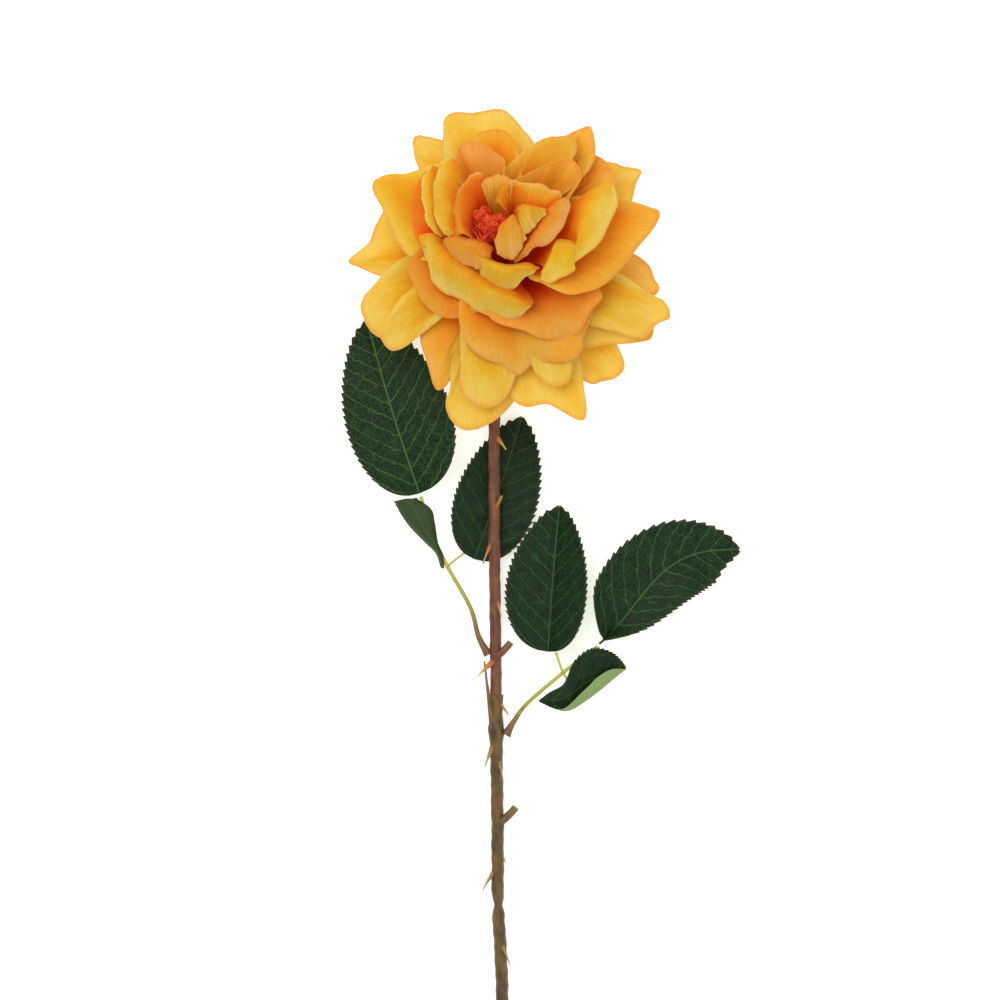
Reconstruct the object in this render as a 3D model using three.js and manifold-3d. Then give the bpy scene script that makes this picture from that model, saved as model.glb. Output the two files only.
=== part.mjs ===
// A cut rose lying on a table: an open bloom of thirty-nine petals on a bent neck,
// a thorny stem in two lengths, and two leaf sprigs of three leaflets each.
// Millimetres, +Z up. The stem runs towards -Y, the bloom is at +Y, and the table is z = 0.
import * as THREE from "three";
import { mergeVertices } from "three/addons/utils/BufferGeometryUtils.js";
import Module from "manifold-3d";

const wasm = await Module();
wasm.setup();

// Overall sizes
const bloomWidth = 115; // across the open bloom
const stemLength = 334; // from under the bloom to the cut end, along the table
const clearance = 0.3; // between pieces that touch

// Bloom
const petalWidthDrawn = 115; // the bloom width that the petal table is written for
const petalThickness = 0.4;
const bloomLean = 27; // degrees from upright
const bloomLeanTurn = 116; // degrees, the side that it leans to
const bloomSeat = new THREE.Vector3(1.8, 87, 39.5); // where the petals spring from
const footRadiusOuter = 6.6; // ring that the outermost petals spring from
const footRiseOuter = -8;
const footStepOut = 0.08; // ring shrinks by this for each of the outer layers
const footStepUp = 0.85; // and rises by this
const footStepInUp = 0.2; // the inner layers step inwards instead and rise by this
const footRadiusInner = 1.84; // ring that the innermost petals spring from
const outerLayers = 7;
const layerCount = 15;
const clawShare = 0.6; // a petal's width at its foot, against its width at the rim
const bellyShare = 0.4; // a rib keeps its first direction for this share of its span
const lipShare = 0.38; // and its last direction for this share of its reach
const crestAt = 0.55; // a rolled petal reaches its crest at this share of its rows
const climbShare = 0.4; // a rolled rib keeps its first direction for this share of its climb
const nearCrestShare = 0.22; // and the crest's direction for this share of it
const dropShare = 0.42; // past the crest, each direction lasts for this share of the drop
const crestSlope = 0.9; // rise against run where a rib passes its crest
const petalAcross = 9; // quads across a petal
const petalAlong = 5; // quads from foot to rim
const rolledAlong = 9; // the same for a rolled petal

// Heart, hip and sepals
const heartTop = 30.5;
const heartRadius = 6;
const heartStalkRadius = 1.1;
const hipLength = 16;
const hipRadius = 5.2;
const sepalLength = 38;
const sepalWidth = 8;
const sepalThickness = 0.7;
const sepalCount = 5;
const sepalDroop = 7;
const sepalDroopLate = 1.4; // the droop grows with this power of the way along
const sepalPoint = 0.6; // and the width falls with this power of the way left
const sepalTrim = 0.04; // the tip is blunt by this share of the length
const sepalBelow = 2; // under the hip's top
const sepalCup = 0.03; // how fast its sides bend down
const sepalTurn = 258;
const sepalAcross = 4;
const sepalAlong = 8;
const heartSides = 8;
const hipSides = 12;

// Stem
const upperStemDiameter = 4.2;
const lowerStemDiameter = 4.6;
const upperStemLength = 148; // from the hip to the joint, seen from above
const collarDiameter = 5.6;
const pinchDiameter = 3;
const pinchBelowJoint = 76.5;
const nodeBelowJoint = 13;
const nodeDiameter = 6;
const jointHeight = 5.2; // of the stem's middle line over the table
const jointAside = -1.4; // of the same line, sideways
const stemSides = 10;
const upperStemSteps = 22;
const spikeSides = 5;
const collarReach = 3; // each swelling or pinch fades out over this length
const nodeReach = 3;
const pinchReach = 2;

// Leaves
const leafThickness = 0.5;
const leafTrim = 0.012; // the leaflet's ends are blunt by this share of its length
const leafFullness = 1.25; // how squarely a leaflet's outline swells from its ends
const rachisDiameter = 1.9;
const rachisFlare = 0.9; // the rachis is thicker at its root by this share
const rachisFade = 5; // and the flare fades this many times over its length
const rachisSteps = 12;
const rachisSides = 8;
const petioluleDiameter = 1.3;
const petioluleSteps = 3;
const petioluleSides = 6;
const leafAlong = 12;
const leafAcross = 6;

const radians = THREE.MathUtils.degToRad;

// ---- solids ----

function manifoldOf(geometry) {
  const bare = new THREE.BufferGeometry();
  bare.setAttribute("position", geometry.getAttribute("position"));
  bare.setIndex(geometry.index);
  const merged = mergeVertices(bare, 1e-4);
  const mesh = new wasm.Mesh({
    numProp: 3,
    vertProperties: merged.attributes.position.array,
    triVerts: new Uint32Array(merged.index.array),
  });
  return new wasm.Manifold(mesh);
}

function geometryOf(solid) {
  const mesh = solid.getMesh();
  const geometry = new THREE.BufferGeometry();
  geometry.setAttribute("position", new THREE.BufferAttribute(mesh.vertProperties, 3));
  geometry.setIndex(new THREE.BufferAttribute(mesh.triVerts, 1));
  geometry.computeVertexNormals();
  return geometry;
}

function union(geometries) {
  const solids = geometries.map(manifoldOf);
  return geometryOf(solids.reduce((whole, piece) => whole.add(piece)));
}

function largestBody(solid) {
  const bodies = solid.decompose();
  return bodies.reduce((best, body) => (body.volume() > best.volume() ? body : best));
}

// A closed solid through a row of rings, each a list of the same number of points.
// A ring of radius 0 becomes a single point once its vertices are merged.
function loft(rings) {
  const sides = rings[0].length;
  const points = rings.flat();
  const first = points.length;
  const middle = (ring) =>
    ring.reduce((sum, p) => sum.add(p), new THREE.Vector3()).divideScalar(sides);
  points.push(middle(rings[0]), middle(rings.at(-1)));
  const faces = [];
  for (let i = 0; i < sides; i++) {
    const next = (i + 1) % sides;
    const end = (rings.length - 1) * sides;
    faces.push(first, next, i);
    faces.push(first + 1, end + i, end + next);
    for (let row = 0; row < rings.length - 1; row++) {
      const low = row * sides;
      const high = low + sides;
      faces.push(low + i, low + next, high + next);
      faces.push(low + i, high + next, high + i);
    }
  }
  return new THREE.BufferGeometry().setFromPoints(points).setIndex(faces);
}

// A round bar along a curve, with a ring at each share of its length; radiusAt gives its radius.
function bar(curve, shares, sides, radiusAt) {
  const rings = shares.map((share) => {
    const way = curve.getTangentAt(share);
    const across = new THREE.Vector3(way.y, -way.x, 0).normalize();
    const over = across.clone().cross(way);
    const ring = [];
    for (let side = 0; side < sides; side++) {
      const angle = (side / sides) * 2 * Math.PI;
      const p = curve.getPointAt(share);
      p.addScaledVector(across, radiusAt(share) * Math.cos(angle));
      p.addScaledVector(over, -radiusAt(share) * Math.sin(angle));
      ring.push(p);
    }
    return ring;
  });
  return loft(rings);
}

function evenShares(steps) {
  return Array.from({ length: steps + 1 }, (_, step) => step / steps);
}

// A thin closed shell on both sides of a surface; surface(u, v) gives its middle.
function shell(surface, across, along, thickness) {
  const points = [];
  for (const side of [1, -1])
    for (let row = 0; row <= along; row++)
      for (let column = 0; column <= across; column++) {
        const u = column / across;
        const v = row / along;
        points.push(surface(u, v).addScaledVector(normalAt(surface, u, v), (side * thickness) / 2));
      }
  const columns = across + 1;
  const back = columns * (along + 1);
  const faces = [];
  const quad = (a, b, c, d) => faces.push(a, b, c, a, c, d);
  for (let row = 0; row < along; row++)
    for (let column = 0; column < across; column++) {
      const a = row * columns + column;
      quad(a, a + 1, a + columns + 1, a + columns);
      quad(back + a, back + a + columns, back + a + columns + 1, back + a + 1);
    }
  const top = along * columns;
  for (let column = 0; column < across; column++) {
    quad(column, back + column, back + column + 1, column + 1);
    quad(top + column, top + column + 1, back + top + column + 1, back + top + column);
  }
  for (let row = 0; row < along; row++) {
    const a = row * columns;
    const b = a + across;
    quad(a, a + columns, back + a + columns, back + a);
    quad(b, back + b, back + b + columns, b + columns);
  }
  return new THREE.BufferGeometry().setFromPoints(points).setIndex(faces);
}

function normalAt(surface, u, v) {
  const step = 0.01;
  const across = surface(Math.min(u + step, 1), v).sub(surface(Math.max(u - step, 0), v));
  const along = surface(u, Math.min(v + step, 1)).sub(surface(u, Math.max(v - step, 0)));
  return across.cross(along).normalize();
}

// ---- the bloom's own frame ----

const leanAxis = new THREE.Vector3(
  -Math.sin(radians(bloomLeanTurn)),
  Math.cos(radians(bloomLeanTurn)),
  0,
);
const bloomPose = new THREE.Quaternion().setFromAxisAngle(leanAxis, radians(bloomLean));
const bloomScale = bloomWidth / petalWidthDrawn;

// A place in the bloom: turn in degrees, reach from the axis and rise along it.
function inBloom(turn, reach, rise) {
  const angle = radians(turn);
  const local = new THREE.Vector3(reach * Math.cos(angle), reach * Math.sin(angle), rise);
  return local.applyQuaternion(bloomPose).add(bloomSeat);
}

const shoulderRadius = footRadiusOuter - outerLayers * footStepOut;
const footStepIn = (shoulderRadius - footRadiusInner) / (layerCount - 1 - outerLayers);

function footOf(layer) {
  const low = Math.min(layer, outerLayers);
  const high = layer - low;
  return {
    reach: footRadiusOuter - low * footStepOut - high * footStepIn,
    rise: footRiseOuter + low * footStepUp + high * footStepInUp,
  };
}

// Each petal: name, layer, how steeply it leaves its foot and how its lip lies, in degrees,
// then its rim as turn (degrees), reach and rise (mm) from one side to the other. A petal
// whose rim is rolled over has its crest too, with as many points as its rim.
// The layers go from the outermost to the heart, and each lies over the one before.
const petals = [
  ["outer_petal_01", 0, 4, -30,
    [[106, 44, -6], [112, 54, -8], [118, 62, -9], [123.5, 67.5, -10], [127.5, 63, -9], [132, 50, -7],
     [138, 40, -6]]],
  ["outer_petal_02", 0, 4, -30,
    [[140, 38, -4], [148, 51, -4], [156, 54, -6], [165, 55, -9], [172, 61, -12], [175, 57, -11],
     [180, 48, -9], [187, 38, -6]]],
  ["outer_petal_03", 0, 4, -30,
    [[236, 40, -8], [245, 48, -11], [247, 57, -15], [254, 61, -18], [262, 58, -18], [270, 53, -15],
     [280, 44, -10]]],
  ["outer_petal_04", 0, 4, -30,
    [[296, 38, -9], [304, 52, -16], [309, 54, -18], [314, 56, -19], [319, 56, -17], [323, 50, -13],
     [328, 40, -9]]],
  ["outer_petal_05", 0, 4, -30,
    [[338, 40, -7], [346, 52, -12], [351, 55, -14], [356, 53, -13], [363, 49, -12], [370, 40, -8]]],
  ["outer_petal_06", 0, 4, -30,
    [[22, 38, -6], [29, 49, -10], [37, 56, -12], [41, 61, -14], [45, 58, -12], [50, 54, -9],
     [58, 42, -6]]],
  ["outer_petal_07", 1, 14, -32,
    [[74, 38, -1], [80, 48, -4], [87, 56, -7], [94, 65, -9], [103, 66, -9], [112, 70, -10],
     [117, 60, -7], [124, 42, -3]]],
  ["outer_petal_08", 1, 14, -40,
    [[172, 34, 0], [180, 45, -5], [188, 55, -10], [197, 56, -12], [207, 52, -12], [212, 42, -8],
     [218, 32, -3]]],
  ["outer_petal_09", 1, 14, -32,
    [[212, 32, -2], [221, 41, -5], [231, 46, -9], [238, 51, -13], [242, 50, -13], [245, 42, -10],
     [250, 32, -6]]],
  ["outer_petal_10", 1, 14, -35,
    [[266, 38, -3], [272, 50, -9], [278, 54, -12], [287, 55, -13], [296, 64, -17], [302, 54, -11],
     [311, 42, -4]]],
  ["outer_petal_11", 1.6, 14, -32,
    [[300, 36, -2], [308, 44, -5], [319, 49, -8], [327, 56, -11], [332, 60, -12], [338, 56, -10],
     [346, 44, -5]]],
  ["outer_petal_12", 2.6, 24, -35,
    [[316, 38, 2], [324, 50, -3], [329, 59, -7], [336, 61, -8], [340, 64, -9], [344, 60, -8],
     [346, 53, -5], [352, 38, 3]]],
  ["outer_petal_13", 2.4, 24, -40,
    [[194, 30, 4], [203, 44, -1], [208, 52, -6], [214, 53, -8], [219, 49, -6], [223, 40, -1],
     [229, 30, 4]]],
  ["outer_petal_14", 2.4, 24, -40,
    [[240, 30, 1], [248, 40, -1], [251, 47, -3], [256, 53, -7], [264, 55, -9], [272, 51, -7],
     [278, 43, -2], [284, 32, -1]]],
  ["outer_petal_15", 3.2, 24, -35,
    [[278, 30, 0], [284, 42, 0], [287, 49, -2], [291, 53, -4], [297, 54, -4], [303, 48, -1],
     [308, 36, 0]]],
  ["outer_petal_16", 2.4, 30, -15,
    [[20, 32, 12], [27, 46, 8], [36, 49, 6], [44, 51, 4], [52, 49, 5], [60, 36, 10]]],
  ["outer_petal_17", 3.4, 36, -10,
    [[36, 32, 15], [44, 46, 10], [52, 53, 6], [59, 58.5, 3], [62, 55, 5], [66, 46, 9], [72, 32, 14]]],
  ["middle_petal_01", 4, 40, -40,
    [[120, 34, 13], [127, 44, 10], [137, 50, 6], [144, 58, 3], [148, 59, 2], [156, 50, 4], [169, 40, 7],
     [183, 33, 10], [192, 26, 13]]],
  ["middle_petal_02", 4, 40, -45,
    [[238, 26, 11], [247, 34, 7], [258, 39, 3], [270, 42, 0], [278, 46, -2], [287, 44, 0], [304, 50, 2],
     [312, 46, 3], [322, 43, 4], [333, 40, 7], [342, 30, 10]]],
  ["middle_petal_03", 4, 52, -20,
    [[70, 26, 19], [78, 34, 15], [84, 42, 12], [92, 48, 10], [101, 47, 11], [108, 42, 14],
     [115, 34, 18], [121, 26, 22]]],
  ["middle_petal_04", 5, 40, -50,
    [[176, 26, 13], [184, 33, 10], [193, 34, 7], [206, 34, 5], [219, 33, 4], [232, 31, 5], [245, 29, 8],
     [256, 26, 11]]],
  ["middle_petal_05", 5, 46, -32,
    [[262, 26, 15], [270, 31, 14], [286, 35, 11], [294, 39, 8], [303, 43, 7], [312, 45, 7],
     [322, 43, 8], [332, 43, 8], [338, 34, 11]]],
  ["middle_petal_06", 5, 58, -30,
    [[50, 36, 14], [54, 46, 11], [61, 50, 10], [68, 46, 12], [74, 38, 16], [80, 30, 20], [88, 22, 25]]],
  ["middle_petal_07", 6, 50, -42,
    [[308, 24, 23], [313, 29, 22], [319, 37, 19], [326, 40, 16], [335, 43, 12], [346, 45, 8],
     [359, 50, 6], [373, 59, 4], [378, 54, 6], [383, 44, 10], [390, 32, 16]]],
  ["middle_petal_08", 6, 58, 0,
    [[122, 30, 22], [130, 38, 19], [144, 38, 17], [156, 35, 17], [170, 31, 19], [186, 27, 22],
     [194, 22, 25]]],
  ["middle_petal_09", 7, 80, -70,
    [[186, 27, 20], [201, 26, 15], [209, 27, 13], [220, 26, 12], [237, 25, 12], [251, 26, 12],
     [267, 28, 12], [277, 30, 12], [288, 31, 13], [298, 31, 17]],
    [[180, 27, 23], [182, 22, 25], [198, 19, 26], [221, 18, 27], [242, 18, 27], [260, 20, 27],
     [274, 24, 27], [284, 27, 26], [292, 30, 23], [298, 31, 18]]],
  ["inner_petal_01", 8, 64, 40,
    [[24, 30, 22], [34, 37, 19], [43, 40, 18], [50, 39, 20], [54, 31, 24], [60, 22, 28], [70, 16, 31]]],
  ["inner_petal_02", 8, 66, 30,
    [[74, 20, 30], [82, 27, 27], [90, 31, 25], [103, 38, 23], [111, 37, 24], [118, 29, 28],
     [124, 20, 31]]],
  ["inner_petal_03", 9, 60, -50,
    [[313, 28, 25], [315, 31, 24], [322, 33, 24], [330, 35, 24], [337, 34, 23], [352, 40, 22],
     [364, 43, 21], [374, 46, 20], [384, 47, 19]],
    [[317, 27, 27], [332, 26, 28], [343, 26, 28], [345, 30, 28], [346, 33, 27], [359, 32, 27],
     [372, 34, 26], [381, 39, 24], [385, 45, 20]]],
  ["inner_petal_04", 9, 70, -50,
    [[132, 35, 27], [138, 34, 27], [146, 31, 27], [156, 28, 26], [166, 25, 26], [176, 22, 25],
     [187, 18, 25]],
    [[130, 33, 28], [135, 31, 29], [144, 28, 29], [152, 25, 29], [163, 22, 29], [174, 20, 28],
     [187, 18, 27]]],
  ["inner_petal_05", 10, 72, -60,
    [[249, 13, 29], [258, 16, 26], [267, 20, 24], [279, 24, 23], [290, 24, 23], [302, 24, 25],
     [313, 26, 28]],
    [[248, 12, 32], [270, 15, 32], [286, 18, 32], [297, 20, 31], [308, 22, 31], [313, 25, 30],
     [314, 26, 29]]],
  ["inner_petal_06", 10, 74, -40,
    [[23, 28, 28], [28, 28, 28], [33, 25, 29], [41, 23, 30], [50, 20, 31], [62, 19, 31], [77, 15, 30],
     [77, 9, 29]],
    [[20, 28, 29], [20, 25, 30], [22, 21, 31], [28, 17, 32], [42, 17, 33], [55, 16, 33], [62, 12, 33],
     [57, 8, 32]]],
  ["inner_petal_07", 11, 74, -50,
    [[118, 30, 32], [124, 31, 31], [133, 29, 30], [146, 26, 29], [163, 21, 29], [181, 18, 29],
     [197, 15, 29]],
    [[117, 28, 33], [119, 27, 33], [124, 24, 33], [135, 19, 33], [155, 15, 32], [183, 14, 32],
     [198, 13, 31]]],
  ["inner_petal_08", 11, 76, -50,
    [[304, 17, 26], [318, 18, 27], [329, 19, 28], [338, 23, 28], [350, 26, 29], [360, 28, 29],
     [369, 30, 29], [376, 30, 29]],
    [[304, 16, 27], [315, 17, 29], [326, 17, 30], [345, 18, 31], [360, 20, 31], [370, 22, 31],
     [376, 26, 31], [378, 29, 30]]],
  ["inner_petal_09", 12, 78, -60,
    [[197, 18, 26], [221, 17, 26], [240, 16, 26], [255, 17, 27], [266, 16, 28], [278, 13, 29]],
    [[195, 16, 29], [203, 12, 31], [235, 9, 32], [261, 9, 32], [275, 11, 32], [279, 12, 31]]],
  ["inner_petal_10", 12, 78, -30,
    [[96, 18, 33], [100, 20, 32], [113, 20, 31], [124, 19, 31], [140, 16, 31], [158, 15, 30],
     [176, 13, 30], [199, 12, 30]],
    [[96, 16, 34], [100, 16, 35], [106, 16, 35], [116, 15, 35], [134, 12, 35], [159, 10, 34],
     [187, 9, 34], [217, 9, 33]]],
  ["inner_petal_11", 13, 80, 60,
    [[52, 14, 34], [60, 17, 35], [72, 17, 36], [86, 16, 36], [98, 13, 36]]],
  ["inner_petal_12", 13, 82, -50,
    [[337, 15, 32], [344, 17, 32], [353, 18, 32], [360, 20, 32], [365, 22, 33]],
    [[358, 12, 34], [377, 12, 34], [377, 15, 35], [370, 19, 35], [366, 22, 34]]],
  ["inner_petal_13", 14, 84, -60,
    [[289, 12, 31], [294, 15, 30], [302, 17, 30], [320, 17, 31], [333, 16, 32]],
    [[291, 9, 33], [328, 6, 34], [364, 9, 34], [348, 13, 34], [336, 15, 33]]],
];

// A smooth line through an edge's points, as turn, reach and rise.
function edgeLine(points) {
  const scaled = ([turn, reach, rise]) =>
    new THREE.Vector3(turn, reach * bloomScale, rise * bloomScale);
  return new THREE.CatmullRomCurve3(points.map(scaled), false, "catmullrom", 0.5);
}

// A petal is a fan of ribs. Each rib is a cubic curve from the foot ring to the rim.
function openSurface([, layer, lean, lip, rim]) {
  const foot = footOf(layer);
  const rimLine = edgeLine(rim);
  const centre = (rim[0][0] + rim.at(-1)[0]) / 2;
  const start = radians(lean);
  const end = radians(lip);
  return (u, v) => {
    const edge = rimLine.getPoint(u);
    const span = Math.hypot(edge.y - foot.reach, edge.z - foot.rise);
    const rib = new THREE.CubicBezierCurve(
      new THREE.Vector2(foot.reach, foot.rise),
      new THREE.Vector2(
        foot.reach + bellyShare * span * Math.cos(start),
        foot.rise + bellyShare * span * Math.sin(start),
      ),
      new THREE.Vector2(
        edge.y * (1 - lipShare * Math.cos(end)),
        edge.z - edge.y * lipShare * Math.sin(end),
      ),
      new THREE.Vector2(edge.y, edge.z),
    ).getPoint(v);
    const clawTurn = centre + (edge.x - centre) * clawShare;
    const turn = clawTurn + (edge.x - clawTurn) * Math.sin((v * Math.PI) / 2);
    return inBloom(turn, rib.x, rib.y);
  };
}

// In a rolled petal each rib climbs from the foot to the crest as one cubic curve and drops
// from there to the rim as another, with one slope where they meet.
function rolledSurface([, layer, lean, lip, rim, crest]) {
  const foot = footOf(layer);
  const rimLine = edgeLine(rim);
  const crestLine = edgeLine(crest);
  const centre = (rim[0][0] + rim.at(-1)[0]) / 2;
  const up = inBloom(0, 0, 1).sub(bloomSeat);
  const sloping = (flat, angle) =>
    flat.clone().multiplyScalar(Math.cos(angle)).addScaledVector(up, Math.sin(angle));
  return (u, v) => {
    const crestPoint = crestLine.getPoint(u);
    const clawTurn = centre + (crestPoint.x - centre) * clawShare;
    const start = inBloom(clawTurn, foot.reach, foot.rise);
    const top = inBloom(...crestPoint.toArray());
    const end = inBloom(...rimLine.getPoint(u).toArray());
    const outward = inBloom(clawTurn, 1, 0).sub(bloomSeat);
    const over = end.clone().sub(top).projectOnPlane(up).normalize();
    const way = over.clone().addScaledVector(up, crestSlope).normalize();
    const climb = top.distanceTo(start);
    const drop = end.distanceTo(top);
    const firstWay = sloping(outward, radians(lean));
    const lastWay = sloping(over, radians(lip));
    const afterFoot = start.clone().addScaledVector(firstWay, climbShare * climb);
    const beforeTop = top.clone().addScaledVector(way, -nearCrestShare * climb);
    const afterTop = top.clone().addScaledVector(way, dropShare * drop);
    const beforeEnd = end.clone().addScaledVector(lastWay, -dropShare * drop);
    const rising = new THREE.CubicBezierCurve3(start, afterFoot, beforeTop, top);
    const falling = new THREE.CubicBezierCurve3(top, afterTop, beforeEnd, end);
    return v < crestAt ? rising.getPoint(v / crestAt) : falling.getPoint((v - crestAt) / (1 - crestAt));
  };
}

// The solid less the other one, keeping its largest body; left alone where they don't meet.
function trimmed(solid, other) {
  if (solid.intersect(other).isEmpty()) return solid;
  return largestBody(solid.subtract(other));
}

// Each petal is trimmed where it would press into one that was laid before it, and the heart
// is trimmed by them all.
function bloom() {
  const laid = [];
  const room = petalThickness + 2 * clearance;
  const pieces = petals.map((petal) => {
    const rolled = petal.length > 5;
    const surface = rolled ? rolledSurface(petal) : openSurface(petal);
    const along = rolled ? rolledAlong : petalAlong;
    let solid = manifoldOf(shell(surface, petalAcross, along, petalThickness));
    for (const other of laid) solid = trimmed(solid, other);
    laid.push(manifoldOf(shell(surface, petalAcross, along, room)), solid);
    return [petal[0], geometryOf(solid)];
  });
  const middle = laid.reduce(trimmed, manifoldOf(heart()));
  return { pieces, middle: geometryOf(middle) };
}

// ---- heart, hip and sepals ----

const topFoot = footOf(layerCount - 1);
const bottomFoot = footOf(0);

// A turned solid on the bloom's axis, from its outline as reach and rise.
function turned(outline, sides) {
  const rings = outline.map(([reach, rise]) => {
    const ring = [];
    for (let side = 0; side < sides; side++) ring.push(inBloom((side * 360) / sides, reach, rise));
    return ring;
  });
  return loft(rings);
}

function heart() {
  const foot = topFoot.rise;
  return turned(
    [
      [heartStalkRadius, foot],
      [heartStalkRadius, heartTop * 0.4],
      [heartRadius * 0.75, heartTop * 0.75],
      [heartRadius, heartTop * 0.9],
      [heartRadius * 0.5, heartTop],
    ],
    heartSides,
  );
}

const wallRoom = petalThickness / 2 + clearance;
const hipTop = bottomFoot.rise - wallRoom;
const hipBottom = hipTop - hipLength;

function hip() {
  const shoulder = footOf(outerLayers);
  return turned(
    [
      [upperStemDiameter / 2, hipBottom],
      [hipRadius * 0.8, hipBottom + hipLength * 0.3],
      [hipRadius, hipBottom + hipLength * 0.6],
      [hipRadius * 0.95, hipTop],
      [shoulder.reach - wallRoom - clearance, hipTop + clearance],
      [shoulder.reach - wallRoom - clearance, shoulder.rise - 2 * clearance],
      [topFoot.reach - wallRoom, topFoot.rise - clearance - petalThickness],
      [heartStalkRadius, topFoot.rise - clearance],
    ],
    hipSides,
  );
}

// A sepal springs from under the petals and hangs back towards the stem.
function sepal(turn) {
  const reachAtFoot = hipRadius + clearance + sepalThickness / 2;
  const surface = (u, v) => {
    const side = (2 * u - 1) * (sepalWidth / 2) * (1 - v) ** sepalPoint * (0.7 + 0.9 * v);
    const reach = reachAtFoot + sepalLength * v;
    const rise = hipTop - sepalBelow - sepalDroop * v ** sepalDroopLate - side ** 2 * sepalCup;
    const away = (Math.atan2(side, reach) * 180) / Math.PI;
    return inBloom(turn + away, Math.hypot(reach, side), rise);
  };
  const blunt = (u, v) => surface(u, v * (1 - sepalTrim));
  return shell(blunt, sepalAcross, sepalAlong, sepalThickness);
}

// ---- stem ----

const neckTop = inBloom(0, 0, hipBottom - clearance);
const neckWay = inBloom(0, 0, hipBottom - 1).sub(inBloom(0, 0, hipBottom)).normalize();
const jointY = neckTop.y - upperStemLength;
const endY = neckTop.y - stemLength;

function upperStem() {
  const line = new THREE.CatmullRomCurve3([
    neckTop,
    neckTop.clone().addScaledVector(neckWay, 5),
    new THREE.Vector3(8.4, neckTop.y - 8, 8),
    new THREE.Vector3(6.5, neckTop.y - 18, 6.6),
    new THREE.Vector3(2, neckTop.y - 30, 6.4),
    new THREE.Vector3(-1.6, neckTop.y - 44, 6.3),
    new THREE.Vector3(-2.1, neckTop.y - 65, 6.1),
    new THREE.Vector3(-1.9, neckTop.y - 105, 5.7),
    new THREE.Vector3(jointAside, jointY, jointHeight),
  ]);
  return bar(line, evenShares(upperStemSteps), stemSides, () => upperStemDiameter / 2);
}

function lowerStem() {
  const top = jointY - clearance;
  const length = top - endY;
  const line = new THREE.CatmullRomCurve3([
    new THREE.Vector3(jointAside, top, jointHeight),
    new THREE.Vector3(-1.3, top - 20, 4.9),
    new THREE.Vector3(-0.9, top - 50, 4.4),
    new THREE.Vector3(-0.7, top - pinchBelowJoint, 4),
    new THREE.Vector3(0.8, top - pinchBelowJoint - (length - pinchBelowJoint) * 0.3, 3.4),
    new THREE.Vector3(2, endY, lowerStemDiameter / 2),
  ]);
  const bump = (at, centre, width) => Math.exp(-(((at - centre) / width) ** 2));
  const radiusAt = (share) => {
    const at = share * length;
    return (
      lowerStemDiameter / 2 +
      ((collarDiameter - lowerStemDiameter) / 2) * bump(at, 0, collarReach) +
      ((nodeDiameter - lowerStemDiameter) / 2) * bump(at, nodeBelowJoint, nodeReach) -
      ((lowerStemDiameter - pinchDiameter) / 2) * bump(at, pinchBelowJoint, pinchReach)
    );
  };
  const collar = [0, 1, 2].map((step) => step * collarReach);
  const node = [-1, 0, 1, 3].map((step) => nodeBelowJoint + step * nodeReach);
  const above = [0.5, 0.75].map((share) => pinchBelowJoint * share);
  const pinch = [-2.5, -1.25, -0.5, 0.5, 1.25, 2.5].map((step) => pinchBelowJoint + step * pinchReach);
  const below = [0.2, 0.45, 0.7, 1].map((share) => pinchBelowJoint + share * (length - pinchBelowJoint));
  const shares = [...collar, ...node, ...above, ...pinch, ...below].map((at) => at / length);
  return bar(line, shares, stemSides, radiusAt);
}

// A thorn or a cut stub, from inside the stem: where it springs from down the stem,
// which way it points, its length, its root and its end.
function spike([x, y, z], turn, rise, length, rootRadius, endRadius) {
  const root = new THREE.Vector3(x, y, z);
  const flat = Math.cos(radians(rise));
  const way = new THREE.Vector3(
    flat * Math.cos(radians(turn)),
    flat * Math.sin(radians(turn)),
    Math.sin(radians(rise)),
  );
  const line = new THREE.LineCurve3(root, root.clone().addScaledVector(way, length));
  const radiusAt = (share) => rootRadius + (endRadius - rootRadius) * share;
  return bar(line, [0, 1], spikeSides, radiusAt);
}

// Places down the upper stem are measured from the neck, and down the lower stem from the joint.
// Each row: sideways, down the stem, height, turn, rise, length, root and end radius.
const upperSpikes = [
  [-2.2, 48, 6.5, 206, 5, 7, 1.1, 0.3],
  [-1.6, 54, 6.6, -50, 25, 6.5, 1.3, 0.3],
  [-1.8, 80, 6.8, 62, 30, 6, 1.1, 0.5],
  [-2.6, 92, 6.2, 246, 8, 9, 1.2, 0.3],
  [-1.4, 113, 6.4, -74, 15, 7, 1, 0.3],
  [-1.4, 134, 5.9, 44, 10, 7.5, 1.5, 1.3],
  [-2.2, 136, 5.9, 222, 5, 8, 1.4, 0.3],
];
const lowerSpikes = [
  [-1.4, 2, 5.8, -50, 8, 7, 1.2, 0.3],
  [-2.4, 19, 5.4, 246, 10, 8, 1.3, 0.3],
  [-0.6, 24, 5.6, -76, 25, 8, 1.1, 0.3],
  [-0.8, 47, 5, 42, 10, 9, 1.6, 1.4],
  [-0.4, 56, 4.8, -66, 10, 6, 1.1, 0.3],
  [-1.4, 64, 4.6, 236, 8, 9, 1.3, 0.3],
  [-0.2, 90, 4.4, -66, 15, 10, 1.2, 0.3],
  [-2.4, 12, 5.6, 101, 3, 11, 1.3, 0.9],
];

function withSpikes(stem, spikes, from) {
  const rows = spikes.map(([x, down, z, ...rest]) => spike([x, from - down, z], ...rest));
  return union([stem, ...rows]);
}

// ---- leaves ----

// How wide a leaflet is at a share of its length, against its widest, which is at the peak.
function swell(along, peak) {
  const rise = (along / peak) ** (leafFullness * peak);
  const fall = ((1 - along) / (1 - peak)) ** (leafFullness * (1 - peak));
  return rise * fall;
}

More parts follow.
